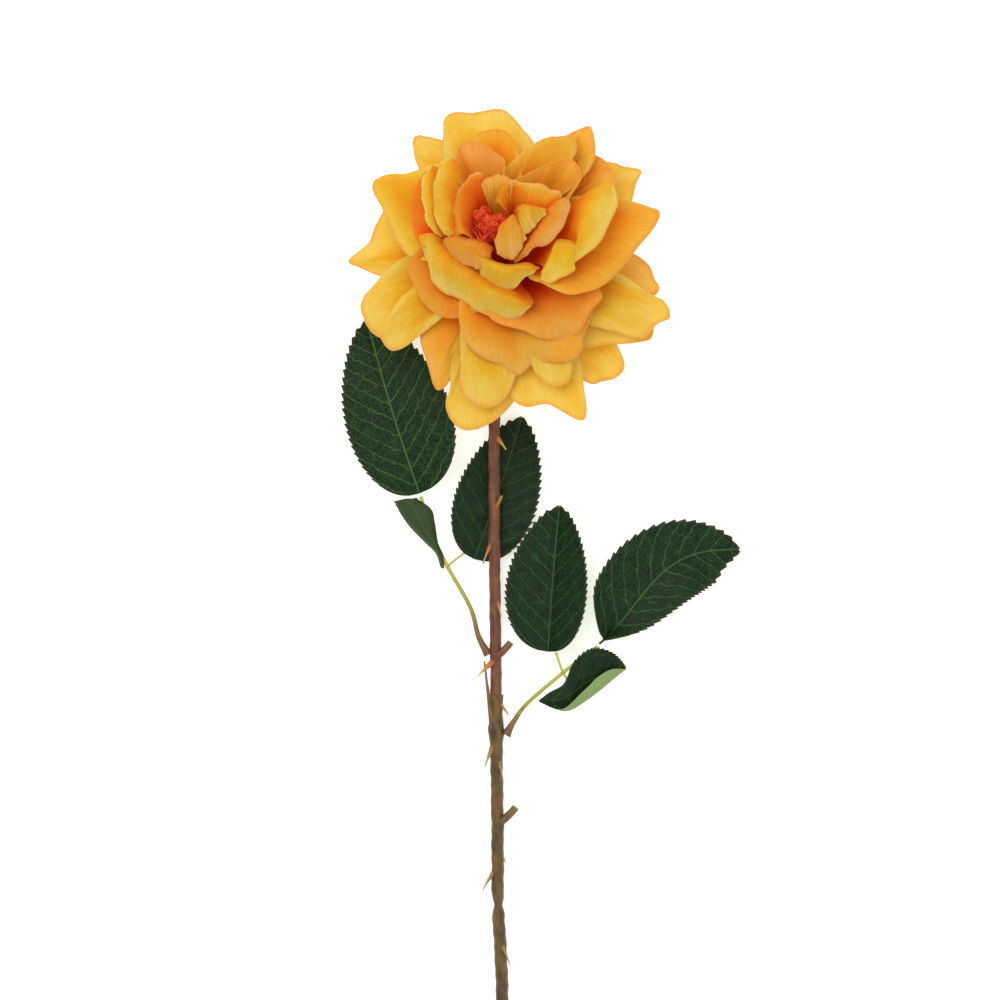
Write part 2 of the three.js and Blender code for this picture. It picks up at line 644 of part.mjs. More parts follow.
// A leaflet from its foot to its tip. Its midrib bows sideways and arches up, each half has its
// own width and folds up from the midrib by its own angle, and the whole rolls about its chord.
function leaflet({ foot, tip, left, right, peak = 0.4, bow = 0, skew = 1, roll = 0, arch = 0 }) {
  const start = new THREE.Vector3(...foot);
  const line = new THREE.Vector3(...tip).sub(start);
  const way = line.clone().normalize();
  const level = new THREE.Vector3(way.y, -way.x, 0).normalize();
  const side = level.applyAxisAngle(way, radians(roll));
  const up = side.clone().cross(way).normalize();
  const surface = (u, v) => {
    const across = 2 * u - 1;
    const along = leafTrim + (1 - 2 * leafTrim) * v;
    const half = across < 0 ? left : right;
    const out = Math.abs(across) * half.width * swell(along, half.peak ?? peak);
    const aside = Math.sign(across) * out * Math.cos(radians(half.fold));
    const lift = out * Math.sin(radians(half.fold)) + arch * Math.sin(Math.PI * along);
    return start
      .clone()
      .addScaledVector(line, along)
      .addScaledVector(side, aside - bow * Math.sin(Math.PI * along ** skew))
      .addScaledVector(up, lift);
  };
  return shell(surface, leafAcross, leafAlong, leafThickness);
}

// Places are from the middle of the stem joint, level with the table.
const leaflets = {
  left_leaf_tip: {
    foot: [-28, 74.2, 6],
    tip: [-47.2, 136.8, 1.8],
    left: { width: 18, fold: 6 },
    right: { width: 21, fold: 10 },
    bow: 0.8,
    arch: 3,
  },
  left_leaf_upper: {
    foot: [-10.6, 51.6, 1.7],
    tip: [9.4, 101.2, 1.6],
    left: { width: 14.6, fold: 5 },
    right: { width: 15, fold: 6 },
    bow: -0.6,
    arch: 0.5,
  },
  left_leaf_lower: {
    foot: [-21.4, 53, 8.6],
    tip: [-34.4, 71, 13.4],
    left: { width: 4.5, fold: 50 },
    right: { width: 7, fold: 50 },
    peak: 0.7,
    roll: 20,
  },
  right_leaf_tip: {
    foot: [38.4, 19.4, 6.5],
    tip: [89.2, 53, 1.4],
    left: { width: 17.6, fold: 8 },
    right: { width: 14, fold: 12, peak: 0.62 },
    bow: 9,
    skew: 1.45,
    arch: 3.5,
  },
  right_leaf_upper: {
    foot: [20.6, 16.4, 5],
    tip: [23.2, 68.8, 3.6],
    left: { width: 16.4, fold: 4 },
    right: { width: 14, fold: 36 },
    arch: 1.5,
  },
  right_leaf_lower: {
    foot: [17, -2, 9],
    tip: [47.2, 10, 12],
    left: { width: 10, fold: 14, peak: 0.6 },
    right: { width: 6, fold: 24, peak: 0.3 },
    arch: 1,
    roll: -10,
  },
};

function placed([x, y, z]) {
  return [x + jointAside, jointY + y, z];
}

// A sprig's stalk: a main line that thins outwards, and side stalks joined to it.
function stalk(main, sides) {
  const curveOf = (points) =>
    new THREE.CatmullRomCurve3(points.map((point) => new THREE.Vector3(...placed(point))));
  const radiusAt = (share) =>
    (rachisDiameter / 2) * (1 + rachisFlare * Math.exp(-share * rachisFade));
  const bars = [bar(curveOf(main), evenShares(rachisSteps), rachisSides, radiusAt)];
  for (const side of sides)
    bars.push(bar(curveOf(side), evenShares(petioluleSteps), petioluleSides, () => petioluleDiameter / 2));
  return union(bars);
}

// Each rachis starts beside the stem, clear of it by the clearance.
const rachisRoot = (rachisDiameter / 2) * (1 + rachisFlare);
const leftRoot = -(upperStemDiameter / 2 + clearance + rachisRoot);
const rightRoot = nodeDiameter / 2 + clearance + rachisRoot;

const leftStalk = {
  main: [
    [leftRoot, 16.5, 5.7],
    [-6.7, 21.5, 6],
    [-9.5, 32, 6],
    [-17.8, 46.8, 6],
    [-23, 58, 5.4],
    [-27.6, 72.4, 5.6],
  ],
  sides: [
    [
      [-17.8, 46.8, 6],
      [-14.8, 49.4, 3.6],
      [-12.4, 50.6, 2.4],
    ],
    [
      [-17.8, 46.8, 6],
      [-20.8, 51.6, 7.2],
    ],
  ],
};
const rightStalk = {
  main: [
    [rightRoot, -13, 5.2],
    [7, -9.5, 5.7],
    [11.6, -2.9, 6],
    [24.3, 8, 6],
    [31, 13, 6],
    [37.2, 17.8, 6.2],
  ],
  sides: [
    [
      [24.3, 8, 6],
      [21.6, 15, 5.2],
    ],
    [
      [24.3, 8, 6],
      [26, 5.6, 7.4],
    ],
  ],
};

// ---- finishes and assembly ----

const finishes = {
  petal: { color: 0xf0a030, roughness: 0.8, metalness: 0 },
  heart: { color: 0xc83a3a, roughness: 0.9, metalness: 0 },
  leaf: { color: 0x1f4a2c, roughness: 0.6, metalness: 0 },
  stalk: { color: 0xa8a83c, roughness: 0.5, metalness: 0 },
  upperStem: { color: 0x7a3b26, roughness: 0.5, metalness: 0 },
  lowerStem: { color: 0x6e5a2e, roughness: 0.5, metalness: 0 },
};

const rose = new THREE.Group();

function place(name, geometry, finish) {
  const mesh = new THREE.Mesh(geometry, new THREE.MeshStandardMaterial(finishes[finish]));
  mesh.name = name;
  rose.add(mesh);
}

const { pieces, middle: heartPiece } = bloom();
for (const [name, geometry] of pieces) place(name, geometry, "petal");
place("heart", heartPiece, "heart");
place("hip", hip(), "stalk");
for (let index = 0; index < sepalCount; index++)
  place(`sepal_${index + 1}`, sepal(sepalTurn + (index * 360) / sepalCount), "stalk");
place("upper_stem", withSpikes(upperStem(), upperSpikes, neckTop.y), "upperStem");
place("lower_stem", withSpikes(lowerStem(), lowerSpikes, jointY), "lowerStem");
place("left_leaf_stalk", stalk(leftStalk.main, leftStalk.sides), "stalk");
place("right_leaf_stalk", stalk(rightStalk.main, rightStalk.sides), "stalk");
for (const [name, shape] of Object.entries(leaflets))
  place(name, leaflet({ ...shape, foot: placed(shape.foot), tip: placed(shape.tip) }), "leaf");

// The origin is the middle of the rose's box, level with the table.
const box = new THREE.Box3().setFromObject(rose, true);
const middle = box.getCenter(new THREE.Vector3());
for (const mesh of rose.children) mesh.position.set(-middle.x, -middle.y, -box.min.z);

export default rose;
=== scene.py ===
# A cut rose lying on a table, seen from straight above.
import math
import bpy
import numpy as np
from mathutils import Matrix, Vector


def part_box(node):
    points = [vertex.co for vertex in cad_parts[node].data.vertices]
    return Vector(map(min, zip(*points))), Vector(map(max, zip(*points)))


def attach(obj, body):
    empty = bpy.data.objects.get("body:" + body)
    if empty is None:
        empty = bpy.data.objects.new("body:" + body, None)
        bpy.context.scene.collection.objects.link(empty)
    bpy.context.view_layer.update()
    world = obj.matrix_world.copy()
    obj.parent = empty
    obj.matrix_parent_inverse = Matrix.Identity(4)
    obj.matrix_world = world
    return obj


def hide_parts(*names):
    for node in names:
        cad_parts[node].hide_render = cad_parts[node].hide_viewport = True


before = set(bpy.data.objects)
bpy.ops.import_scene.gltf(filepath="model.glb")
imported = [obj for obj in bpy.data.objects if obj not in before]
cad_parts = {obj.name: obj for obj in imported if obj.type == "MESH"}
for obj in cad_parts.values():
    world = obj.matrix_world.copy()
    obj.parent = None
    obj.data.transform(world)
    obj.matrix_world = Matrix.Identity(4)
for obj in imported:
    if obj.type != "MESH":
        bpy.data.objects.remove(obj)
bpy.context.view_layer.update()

mm = 0.001
print("frame loaded:", len(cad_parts), "nodes")


def smooth(low, high, x):
    # 0 below low, 1 above high, and an even S between them
    t = np.clip((x - low) / (high - low), 0, 1)
    return t * t * (3 - 2 * t)


def unit(v):
    return v / np.maximum(np.linalg.norm(v, axis=-1, keepdims=True), 1e-12)


def lengthAlong(line):
    # how far each point of a line is from its start, along it
    return np.concatenate([[0], np.cumsum(np.linalg.norm(np.diff(line, axis=0), axis=1))])


def gridNormals(grid):
    # the cross product of the two directions along the grid, at every point
    down, over = np.gradient(grid, axis=(0, 1))
    return unit(np.cross(over, down))


def gridFaces(rows, columns, wrap=False):
    index = np.arange(rows * columns).reshape(rows, columns)
    if wrap:
        index = np.hstack([index, index[:, :1]])
    return np.stack([index[:-1, :-1], index[:-1, 1:], index[1:, 1:], index[1:, :-1]], -1).reshape(-1, 4)


def tubeFaces(rows, sides):
    # the wall between rings of points and a fan over each end, to two last points; the faces point
    # outwards where the rings turn right-handed about the way that the rows go
    ring = np.arange(sides)
    after = (ring + 1) % sides
    first = np.full(sides, rows * sides)
    end = (rows - 1) * sides
    opening = np.stack([first, after, ring], -1)
    closing = np.stack([first + 1, ring + end, after + end], -1)
    return [*gridFaces(rows, sides, wrap=True).tolist(), *opening.tolist(), *closing.tolist()]


def meshObject(name, points, faces, fields=None, sharpFrom=50):
    mesh = bpy.data.meshes.new(name)
    mesh.from_pydata(points.reshape(-1, 3).tolist(), [], [list(face) for face in faces])
    mesh.validate()
    for field, values in (fields or {}).items():
        layer = mesh.attributes.new(field, "FLOAT", "POINT")
        layer.data.foreach_set("value", np.ascontiguousarray(values, np.float32).ravel())
    mesh.polygons.foreach_set("use_smooth", [True] * len(mesh.polygons))
    mesh.set_sharp_from_angle(angle=math.radians(sharpFrom))
    piece = bpy.data.objects.new(name, mesh)
    bpy.context.scene.collection.objects.link(piece)
    return piece


def rimLoop(rows, columns):
    index = np.arange(rows * columns).reshape(rows, columns)
    return np.concatenate([index[0, :-1], index[:-1, -1], index[-1, :0:-1], index[:0:-1, 0]])


def sheetSolid(grid, thickness):
    # both sides of a surface, half the thickness away along its normals, with the rim closed
    rows, columns = grid.shape[:2]
    away = gridNormals(grid) * thickness / 2
    points = np.concatenate([(grid + away).reshape(-1, 3), (grid - away).reshape(-1, 3)])
    front = gridFaces(rows, columns)
    count = rows * columns
    back = front[:, ::-1] + count
    loop = rimLoop(rows, columns)
    after = np.roll(loop, -1)
    rim = np.stack([after, loop, loop + count, after + count], -1)
    return points, np.concatenate([front, back, rim])


def bothSides(*fields):
    return [np.concatenate([np.ravel(field), np.ravel(field)]) for field in fields]


def finishPiece(piece, nodes, material):
    piece.data.materials.append(material)
    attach(piece, "root")
    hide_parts(*nodes)
    return piece


class Wire:
    # an output of a node; sums and products on it add their Math nodes
    def __init__(self, socket):
        self.socket = socket

    def math(self, how, *others):
        return node(self.socket.id_data, "ShaderNodeMath", {"operation": how}, [self, *others])

    def __add__(self, other):
        return self.math("ADD", other)

    def __radd__(self, other):
        return self.math("ADD", other)

    def __sub__(self, other):
        return self.math("SUBTRACT", other)

    def __rsub__(self, other):
        return node(self.socket.id_data, "ShaderNodeMath", {"operation": "SUBTRACT"}, [other, self])

    def __mul__(self, other):
        return self.math("MULTIPLY", other)

    def __rmul__(self, other):
        return self.math("MULTIPLY", other)

    def __pow__(self, other):
        return self.math("POWER", other)

    def step(self, low, high):
        return node(self.socket.id_data, "ShaderNodeMapRange",
                    {"interpolation_type": "SMOOTHSTEP"}, [self, low, high, 0.0, 1.0])


def node(tree, kind, settings=None, inputs=(), out=0):
    made = tree.nodes.new(kind)
    for key, value in (settings or {}).items():
        if key == "stops":
            elements = made.color_ramp.elements
            while len(elements) < len(value):
                elements.new(0.5)
            for element, (place, color) in zip(elements, value):
                element.position = place
                element.color = color
        else:
            setattr(made, key, value)
    pairs = inputs.items() if isinstance(inputs, dict) else enumerate(inputs)
    for key, value in pairs:
        if isinstance(value, Wire):
            tree.links.new(value.socket, made.inputs[key])
        elif value is not None:
            made.inputs[key].default_value = value
    return Wire(made.outputs[out])


def rgb(red, green, blue):
    # a screen colour of 0 to 255 as linear light
    share = np.array([red, green, blue]) / 255
    linear = np.where(share <= 0.04045, share / 12.92, ((share + 0.055) / 1.055) ** 2.4)
    return (*map(float, linear), 1.0)


def ramp(tree, value, *stops):
    # colours along a value, each stop as its place and its screen colour
    colors = [(place, rgb(*color)) for place, color in stops]
    return node(tree, "ShaderNodeValToRGB", {"stops": colors}, [value])


def newMaterial(name, roughness, **constants):
    material = bpy.data.materials.new(name)
    material.use_nodes = True
    shader = material.node_tree.nodes["Principled BSDF"]
    shader.inputs["Roughness"].default_value = roughness
    for key, value in constants.items():
        shader.inputs[key.replace("_", " ")].default_value = value
    return material, material.node_tree, shader


def field(tree, name):
    return node(tree, "ShaderNodeAttribute", {"attribute_name": name}, out="Fac")


def noise(tree, vector, scale, detail=3.0, rough=0.5):
    return node(tree, "ShaderNodeTexNoise", {}, {"Vector": vector, "Scale": scale, "Detail": detail,
                                                 "Roughness": rough})


def vector(tree, x, y, z=0.0):
    return node(tree, "ShaderNodeCombineXYZ", {}, [x, y, z])


def mixColor(tree, share, first, second, how="MIX"):
    return node(tree, "ShaderNodeMix", {"data_type": "RGBA", "blend_type": how},
                {0: share, 6: first, 7: second}, out=2)


def join(tree, wire, shader, name):
    tree.links.new(wire.socket, shader.inputs[name])


def bump(tree, height, strength, distance):
    return node(tree, "ShaderNodeBump", {}, {"Strength": strength, "Distance": distance, "Height": height})


bloomPlan = dict(
    lean=27,             # degrees from upright
    leanTurn=116,        # the side that it leans to, in degrees
    seat=(1.8, 87, 39.5),  # design place of its seat, mm
    footReach=6.6, footRise=-8.0, footStepOut=0.08, footStepUp=0.85, footStepIn=0.6,
    footStepInUp=0.2, outerLayers=7, layers=15, clawShare=0.6,
    belly=0.4, lip=0.38,
)
leanTurn, lean = math.radians(bloomPlan["leanTurn"]), math.radians(bloomPlan["lean"])


def leaning(reach, turn, rise):
    # a place given by its reach from the axis, its turn and its rise, leant with the whole bloom
    x = reach * np.cos(turn)
    y = reach * np.sin(turn)
    wayX, wayY = math.cos(leanTurn), math.sin(leanTurn)
    along = x * wayX + y * wayY
    aside = y * wayX - x * wayY
    forward = along * math.cos(lean) + rise * math.sin(lean)
    up = rise * math.cos(lean) - along * math.sin(lean)
    return np.stack([forward * wayX - aside * wayY, forward * wayY + aside * wayX, up], -1)


hipPlan = dict(length=16, radius=5.2, neck=2.1, stalk=1.1, room=0.5, sides=12)


def footOf(layer):
    low = min(layer, bloomPlan["outerLayers"])
    high = layer - low
    return (bloomPlan["footReach"] - low * bloomPlan["footStepOut"] - high * bloomPlan["footStepIn"],
            bloomPlan["footRise"] + low * bloomPlan["footStepUp"] + high * bloomPlan["footStepInUp"])


def hipOutline():
    # reach and rise of the hip's wall, from the neck up to the dome that the heart stands on
    room = hipPlan["room"]
    top = bloomPlan["footRise"] - room
    bottom = top - hipPlan["length"]
    shoulder, shoulderRise = footOf(bloomPlan["outerLayers"])
    inner, innerRise = footOf(bloomPlan["layers"] - 1)
    return np.array([
        (hipPlan["neck"], bottom),
        (0.8 * hipPlan["radius"], bottom + 0.3 * hipPlan["length"]),
        (hipPlan["radius"], bottom + 0.6 * hipPlan["length"]),
        (0.95 * hipPlan["radius"], top),
        (shoulder - room - 0.3, top + 0.3),
        (shoulder - room - 0.3, shoulderRise - 0.6),
        (inner - room, innerRise - 0.7),
        (hipPlan["stalk"], innerRise - 0.3),
    ])


# the seat's place in the frame: the hip worked out here, laid over the frame's own hip
outline = hipOutline()
turns = np.radians(np.arange(hipPlan["sides"]) * 360 / hipPlan["sides"])
hipShape = leaning(outline[:, :1], turns[None], outline[:, 1:] + 0 * turns[None]).reshape(-1, 3) * mm
seat = np.array(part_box("hip")[0]) - hipShape.min(0)
print("seat of the bloom:", seat.round(4))


# each petal: its layer, how steeply it leaves its foot and how its lip lies, in degrees, and its rim
# from side to side as turn (degrees), reach and rise (mm)
petalTable = {
    "outer_petal_01": ((0, 4, -30),
        [(106, 44, -6), (112, 54, -8), (118, 62, -9), (123.5, 67.5, -10), (127.5, 63, -9), (132, 50, -7),
         (138, 40, -6)]),
    "outer_petal_02": ((0, 4, -30),
        [(140, 38, -4), (148, 51, -4), (156, 54, -6), (165, 55, -9), (172, 61, -12), (175, 57, -11),
         (180, 48, -9), (187, 38, -6)]),
    "outer_petal_03": ((0, 4, -30),
        [(236, 40, -8), (245, 48, -11), (247, 57, -15), (254, 61, -18), (262, 58, -18), (270, 53, -15),
         (280, 44, -10)]),
    "outer_petal_04": ((0, 4, -30),
        [(296, 38, -9), (304, 52, -16), (309, 54, -18), (314, 56, -19), (319, 56, -17), (323, 50, -13),
         (328, 40, -9)]),
    "outer_petal_05": ((0, 4, -30),
        [(338, 40, -7), (346, 52, -12), (351, 55, -14), (356, 53, -13), (363, 49, -12), (370, 40, -8)]),
    "outer_petal_06": ((0, 4, -30),
        [(22, 38, -6), (29, 49, -10), (37, 56, -12), (41, 61, -14), (45, 58, -12), (50, 54, -9),
         (58, 42, -6)]),
    "outer_petal_07": ((1, 14, -32),
        [(74, 38, -1), (80, 48, -4), (87, 56, -7), (94, 65, -9), (103, 66, -9), (112, 70, -10),
         (117, 60, -7), (124, 42, -3)]),
    "outer_petal_08": ((1, 14, -40),
        [(172, 34, 0), (180, 45, -5), (188, 55, -10), (197, 56, -12), (207, 52, -12), (212, 42, -8),
         (218, 32, -3)]),
    "outer_petal_09": ((1, 14, -32),
        [(212, 32, -2), (221, 41, -5), (231, 46, -9), (238, 51, -13), (242, 50, -13), (245, 42, -10),
         (250, 32, -6)]),
    "outer_petal_10": ((1, 14, -35),
        [(266, 38, -3), (272, 50, -9), (278, 54, -12), (287, 55, -13), (296, 64, -17), (302, 54, -11),
         (311, 42, -4)]),
    "outer_petal_11": ((1.6, 14, -32),
        [(300, 36, -2), (308, 44, -5), (319, 49, -8), (327, 56, -11), (332, 60, -12), (338, 56, -10),
         (346, 44, -5)]),
    "outer_petal_12": ((2.6, 24, -35),
        [(316, 38, 2), (324, 50, -3), (329, 59, -7), (336, 61, -8), (340, 64, -9), (344, 60, -8),
         (346, 53, -5), (352, 38, 3)]),
    "outer_petal_13": ((2.4, 24, -40),
        [(194, 30, 4), (203, 44, -1), (208, 52, -6), (214, 53, -8), (219, 49, -6), (223, 40, -1),
         (229, 30, 4)]),
    "outer_petal_14": ((2.4, 24, -40),
        [(240, 30, 1), (248, 40, -1), (251, 47, -3), (256, 53, -7), (264, 55, -9), (272, 51, -7),
         (278, 43, -2), (284, 32, -1)]),
    "outer_petal_15": ((3.2, 24, -35),
        [(278, 30, 0), (284, 42, 0), (287, 49, -2), (291, 53, -4), (297, 54, -4), (303, 48, -1),
         (308, 36, 0)]),
    "outer_petal_16": ((2.4, 30, -15),
        [(20, 32, 12), (27, 46, 8), (36, 49, 6), (44, 51, 4), (52, 49, 5), (60, 36, 10)]),
    "outer_petal_17": ((3.4, 36, -10),
        [(36, 32, 15), (44, 46, 10), (52, 53, 6), (59, 58.5, 3), (62, 55, 5), (66, 46, 9), (72, 32, 14)]),
    "middle_petal_01": ((4, 40, -40),
        [(120, 34, 13), (127, 44, 10), (137, 50, 6), (144, 58, 3), (148, 59, 2), (156, 50, 4),
         (169, 40, 7), (183, 33, 10), (192, 26, 13)]),
    "middle_petal_02": ((4, 40, -45),
        [(238, 26, 11), (247, 34, 7), (258, 39, 3), (270, 42, 0), (278, 46, -2), (287, 44, 0),
         (304, 50, 2), (312, 46, 3), (322, 43, 4), (333, 40, 7), (342, 30, 10)]),
    "middle_petal_03": ((4, 52, -20),
        [(70, 26, 19), (78, 34, 15), (84, 42, 12), (92, 48, 10), (101, 47, 11), (108, 42, 14),
         (115, 34, 18), (121, 26, 22)]),
    "middle_petal_04": ((5, 40, -50),
        [(176, 26, 13), (184, 33, 10), (193, 34, 7), (206, 34, 5), (219, 33, 4), (232, 31, 5),
         (245, 29, 8), (256, 26, 11)]),
    "middle_petal_05": ((5, 46, -32),
        [(262, 26, 15), (270, 31, 14), (286, 35, 11), (294, 39, 8), (303, 43, 7), (312, 45, 7),
         (322, 43, 8), (332, 43, 8), (338, 34, 11)]),
    "middle_petal_06": ((5, 58, -30),
        [(50, 36, 14), (54, 46, 11), (61, 50, 10), (68, 46, 12), (74, 38, 16), (80, 30, 20),
         (88, 22, 25)]),
    "middle_petal_07": ((6, 50, -42),
        [(308, 24, 23), (313, 29, 22), (319, 37, 19), (326, 40, 16), (335, 43, 12), (346, 45, 8),
         (359, 50, 6), (373, 59, 4), (378, 54, 6), (383, 44, 10), (390, 32, 16)]),
    "middle_petal_08": ((6, 58, 0),
        [(122, 30, 22), (130, 38, 19), (144, 38, 17), (156, 35, 17), (170, 31, 19), (186, 27, 22),
         (194, 22, 25)]),
    "middle_petal_09": ((7, 80, -70),
        [(186, 27, 20), (201, 26, 15), (209, 27, 13), (220, 26, 12), (237, 25, 12), (251, 26, 12),
         (267, 28, 12), (277, 30, 12), (288, 31, 13), (298, 31, 17)],
        [(180, 27, 23), (182, 22, 25), (198, 19, 26), (221, 18, 27), (242, 18, 27), (260, 20, 27),
         (274, 24, 27), (284, 27, 26), (292, 30, 23), (298, 31, 18)]),
    "inner_petal_01": ((8, 64, 40),
        [(24, 30, 22), (34, 37, 19), (43, 40, 18), (50, 39, 20), (54, 31, 24), (60, 22, 28),
         (70, 16, 31)]),
    "inner_petal_02": ((8, 66, 30),
        [(74, 20, 30), (82, 27, 27), (90, 31, 25), (103, 38, 23), (111, 37, 24), (118, 29, 28),
         (124, 20, 31)]),
    "inner_petal_03": ((9, 60, -50),
        [(313, 28, 25), (315, 31, 24), (322, 33, 24), (330, 35, 24), (337, 34, 23), (352, 40, 22),
         (364, 43, 21), (374, 46, 20), (384, 47, 19)],
        [(317, 27, 27), (332, 26, 28), (343, 26, 28), (345, 30, 28), (346, 33, 27), (359, 32, 27),
         (372, 34, 26), (381, 39, 24), (385, 45, 20)]),
    "inner_petal_04": ((9, 70, -50),
        [(132, 35, 27), (138, 34, 27), (146, 31, 27), (156, 28, 26), (166, 25, 26), (176, 22, 25),
         (187, 18, 25)],
        [(130, 33, 28), (135, 31, 29), (144, 28, 29), (152, 25, 29), (163, 22, 29), (174, 20, 28),
         (187, 18, 27)]),
    "inner_petal_05": ((10, 72, -60),
        [(249, 13, 29), (258, 16, 26), (267, 20, 24), (279, 24, 23), (290, 24, 23), (302, 24, 25),
         (313, 26, 28)],
        [(248, 12, 32), (270, 15, 32), (286, 18, 32), (297, 20, 31), (308, 22, 31), (313, 25, 30),
         (314, 26, 29)]),
    "inner_petal_06": ((10, 74, -40),
        [(23, 28, 28), (28, 28, 28), (33, 25, 29), (41, 23, 30), (50, 20, 31), (62, 19, 31), (77, 15, 30),
         (77, 9, 29)],
        [(20, 28, 29), (20, 25, 30), (22, 21, 31), (28, 17, 32), (42, 17, 33), (55, 16, 33), (62, 12, 33),
         (57, 8, 32)]),
    "inner_petal_07": ((11, 74, -50),
        [(118, 30, 32), (124, 31, 31), (133, 29, 30), (146, 26, 29), (163, 21, 29), (181, 18, 29),
         (197, 15, 29)],
        [(117, 28, 33), (119, 27, 33), (124, 24, 33), (135, 19, 33), (155, 15, 32), (183, 14, 32),
         (198, 13, 31)]),
    "inner_petal_08": ((11, 76, -50),
        [(304, 17, 26), (318, 18, 27), (329, 19, 28), (338, 23, 28), (350, 26, 29), (360, 28, 29),
         (369, 30, 29), (376, 30, 29)],
        [(304, 16, 27), (315, 17, 29), (326, 17, 30), (345, 18, 31), (360, 20, 31), (370, 22, 31),
         (376, 26, 31), (378, 29, 30)]),
    "inner_petal_09": ((12, 78, -60),
        [(197, 18, 26), (221, 17, 26), (240, 16, 26), (255, 17, 27), (266, 16, 28), (278, 13, 29)],
        [(195, 16, 29), (203, 12, 31), (235, 9, 32), (261, 9, 32), (275, 11, 32), (279, 12, 31)]),
    "inner_petal_10": ((12, 78, -30),
        [(96, 18, 33), (100, 20, 32), (113, 20, 31), (124, 19, 31), (140, 16, 31), (158, 15, 30),
         (176, 13, 30), (199, 12, 30)],
        [(96, 16, 34), (100, 16, 35), (106, 16, 35), (116, 15, 35), (134, 12, 35), (159, 10, 34),
         (187, 9, 34), (217, 9, 33)]),
    "inner_petal_11": ((13, 80, 60),
        [(52, 14, 34), (60, 17, 35), (72, 17, 36), (86, 16, 36), (98, 13, 36)]),
    "inner_petal_12": ((13, 82, -50),
        [(337, 15, 32), (344, 17, 32), (353, 18, 32), (360, 20, 32), (365, 22, 33)],
        [(358, 12, 34), (377, 12, 34), (377, 15, 35), (370, 19, 35), (366, 22, 34)]),
    "inner_petal_13": ((14, 84, -60),
        [(289, 12, 31), (294, 15, 30), (302, 17, 30), (320, 17, 31), (333, 16, 32)],
        [(291, 9, 33), (328, 6, 34), (364, 9, 34), (348, 13, 34), (336, 15, 33)]),
}

rollPlan = dict(crestAt=0.55, climb=0.4, near=0.22, drop=0.42, slope=0.9)
petalPlan = dict(across=60, along=44, thickness=0.3, ripple=0.42, crease=0.16, edge=0.955)


def cubic(start, handleIn, handleOut, end, t):
    # a curve from start to end that leaves towards one handle and comes in from the other
    near, far = 3 * t * (1 - t) ** 2, 3 * t ** 2 * (1 - t)
    return (1 - t) ** 3 * start + near * handleIn + far * handleOut + t ** 3 * end


def rimCurve(rim, u):
    # a smooth curve through the rim's points: cubic pieces whose slopes join each point's neighbours
    points = np.array(rim, float)
    count = len(points) - 1
    place = np.clip(u * count, 0, count - 1e-9)
    piece = place.astype(int)
    t = (place - piece)[:, None]
    padded = np.vstack([2 * points[0] - points[1], points, 2 * points[-1] - points[-2]])
    before, start, end, after = (padded[piece + k] for k in range(4))
    slopeIn, slopeOut = (end - before) / 2, (after - start) / 2
    third = (2 * start - 2 * end + slopeIn + slopeOut) * t ** 3
    second = (3 * end - 3 * start - 2 * slopeIn - slopeOut) * t ** 2
    return third + second + slopeIn * t + start


def petalSurface(shape, rim):
    # a fan of ribs: u runs along the rim and v from foot to rim, and each rib is a cubic curve in reach
    # and rise that leaves the foot at one angle and ends at the lip's angle
    (layer, leave, lip), plan = shape, bloomPlan
    u = np.linspace(0, 1, petalPlan["across"])
    v = np.linspace(0, 1, petalPlan["along"])[:, None]
    turn, reach, rise = rimCurve(rim, u).T
    foot, footRise = footOf(layer)
    span = np.hypot(reach - foot, rise - footRise)
    leaveAngle, lipAngle = math.radians(leave), math.radians(lip)
    reachIn = foot + plan["belly"] * span * math.cos(leaveAngle)
    riseIn = footRise + plan["belly"] * span * math.sin(leaveAngle)
    reachOut = reach * (1 - plan["lip"] * math.cos(lipAngle))
    riseOut = rise - reach * plan["lip"] * math.sin(lipAngle)
    ribReach = cubic(foot, reachIn, reachOut, reach, v)
    ribRise = cubic(footRise, riseIn, riseOut, rise, v)
    centre = (rim[0][0] + rim[-1][0]) / 2
    claw = centre + (turn - centre) * plan["clawShare"]
    ribTurn = np.radians(claw + (turn - claw) * np.sin(v * math.pi / 2))
    grid = leaning(ribReach, ribTurn, ribRise)
    return grid, np.broadcast_to(u, grid.shape[:2]), np.broadcast_to(v, grid.shape[:2])


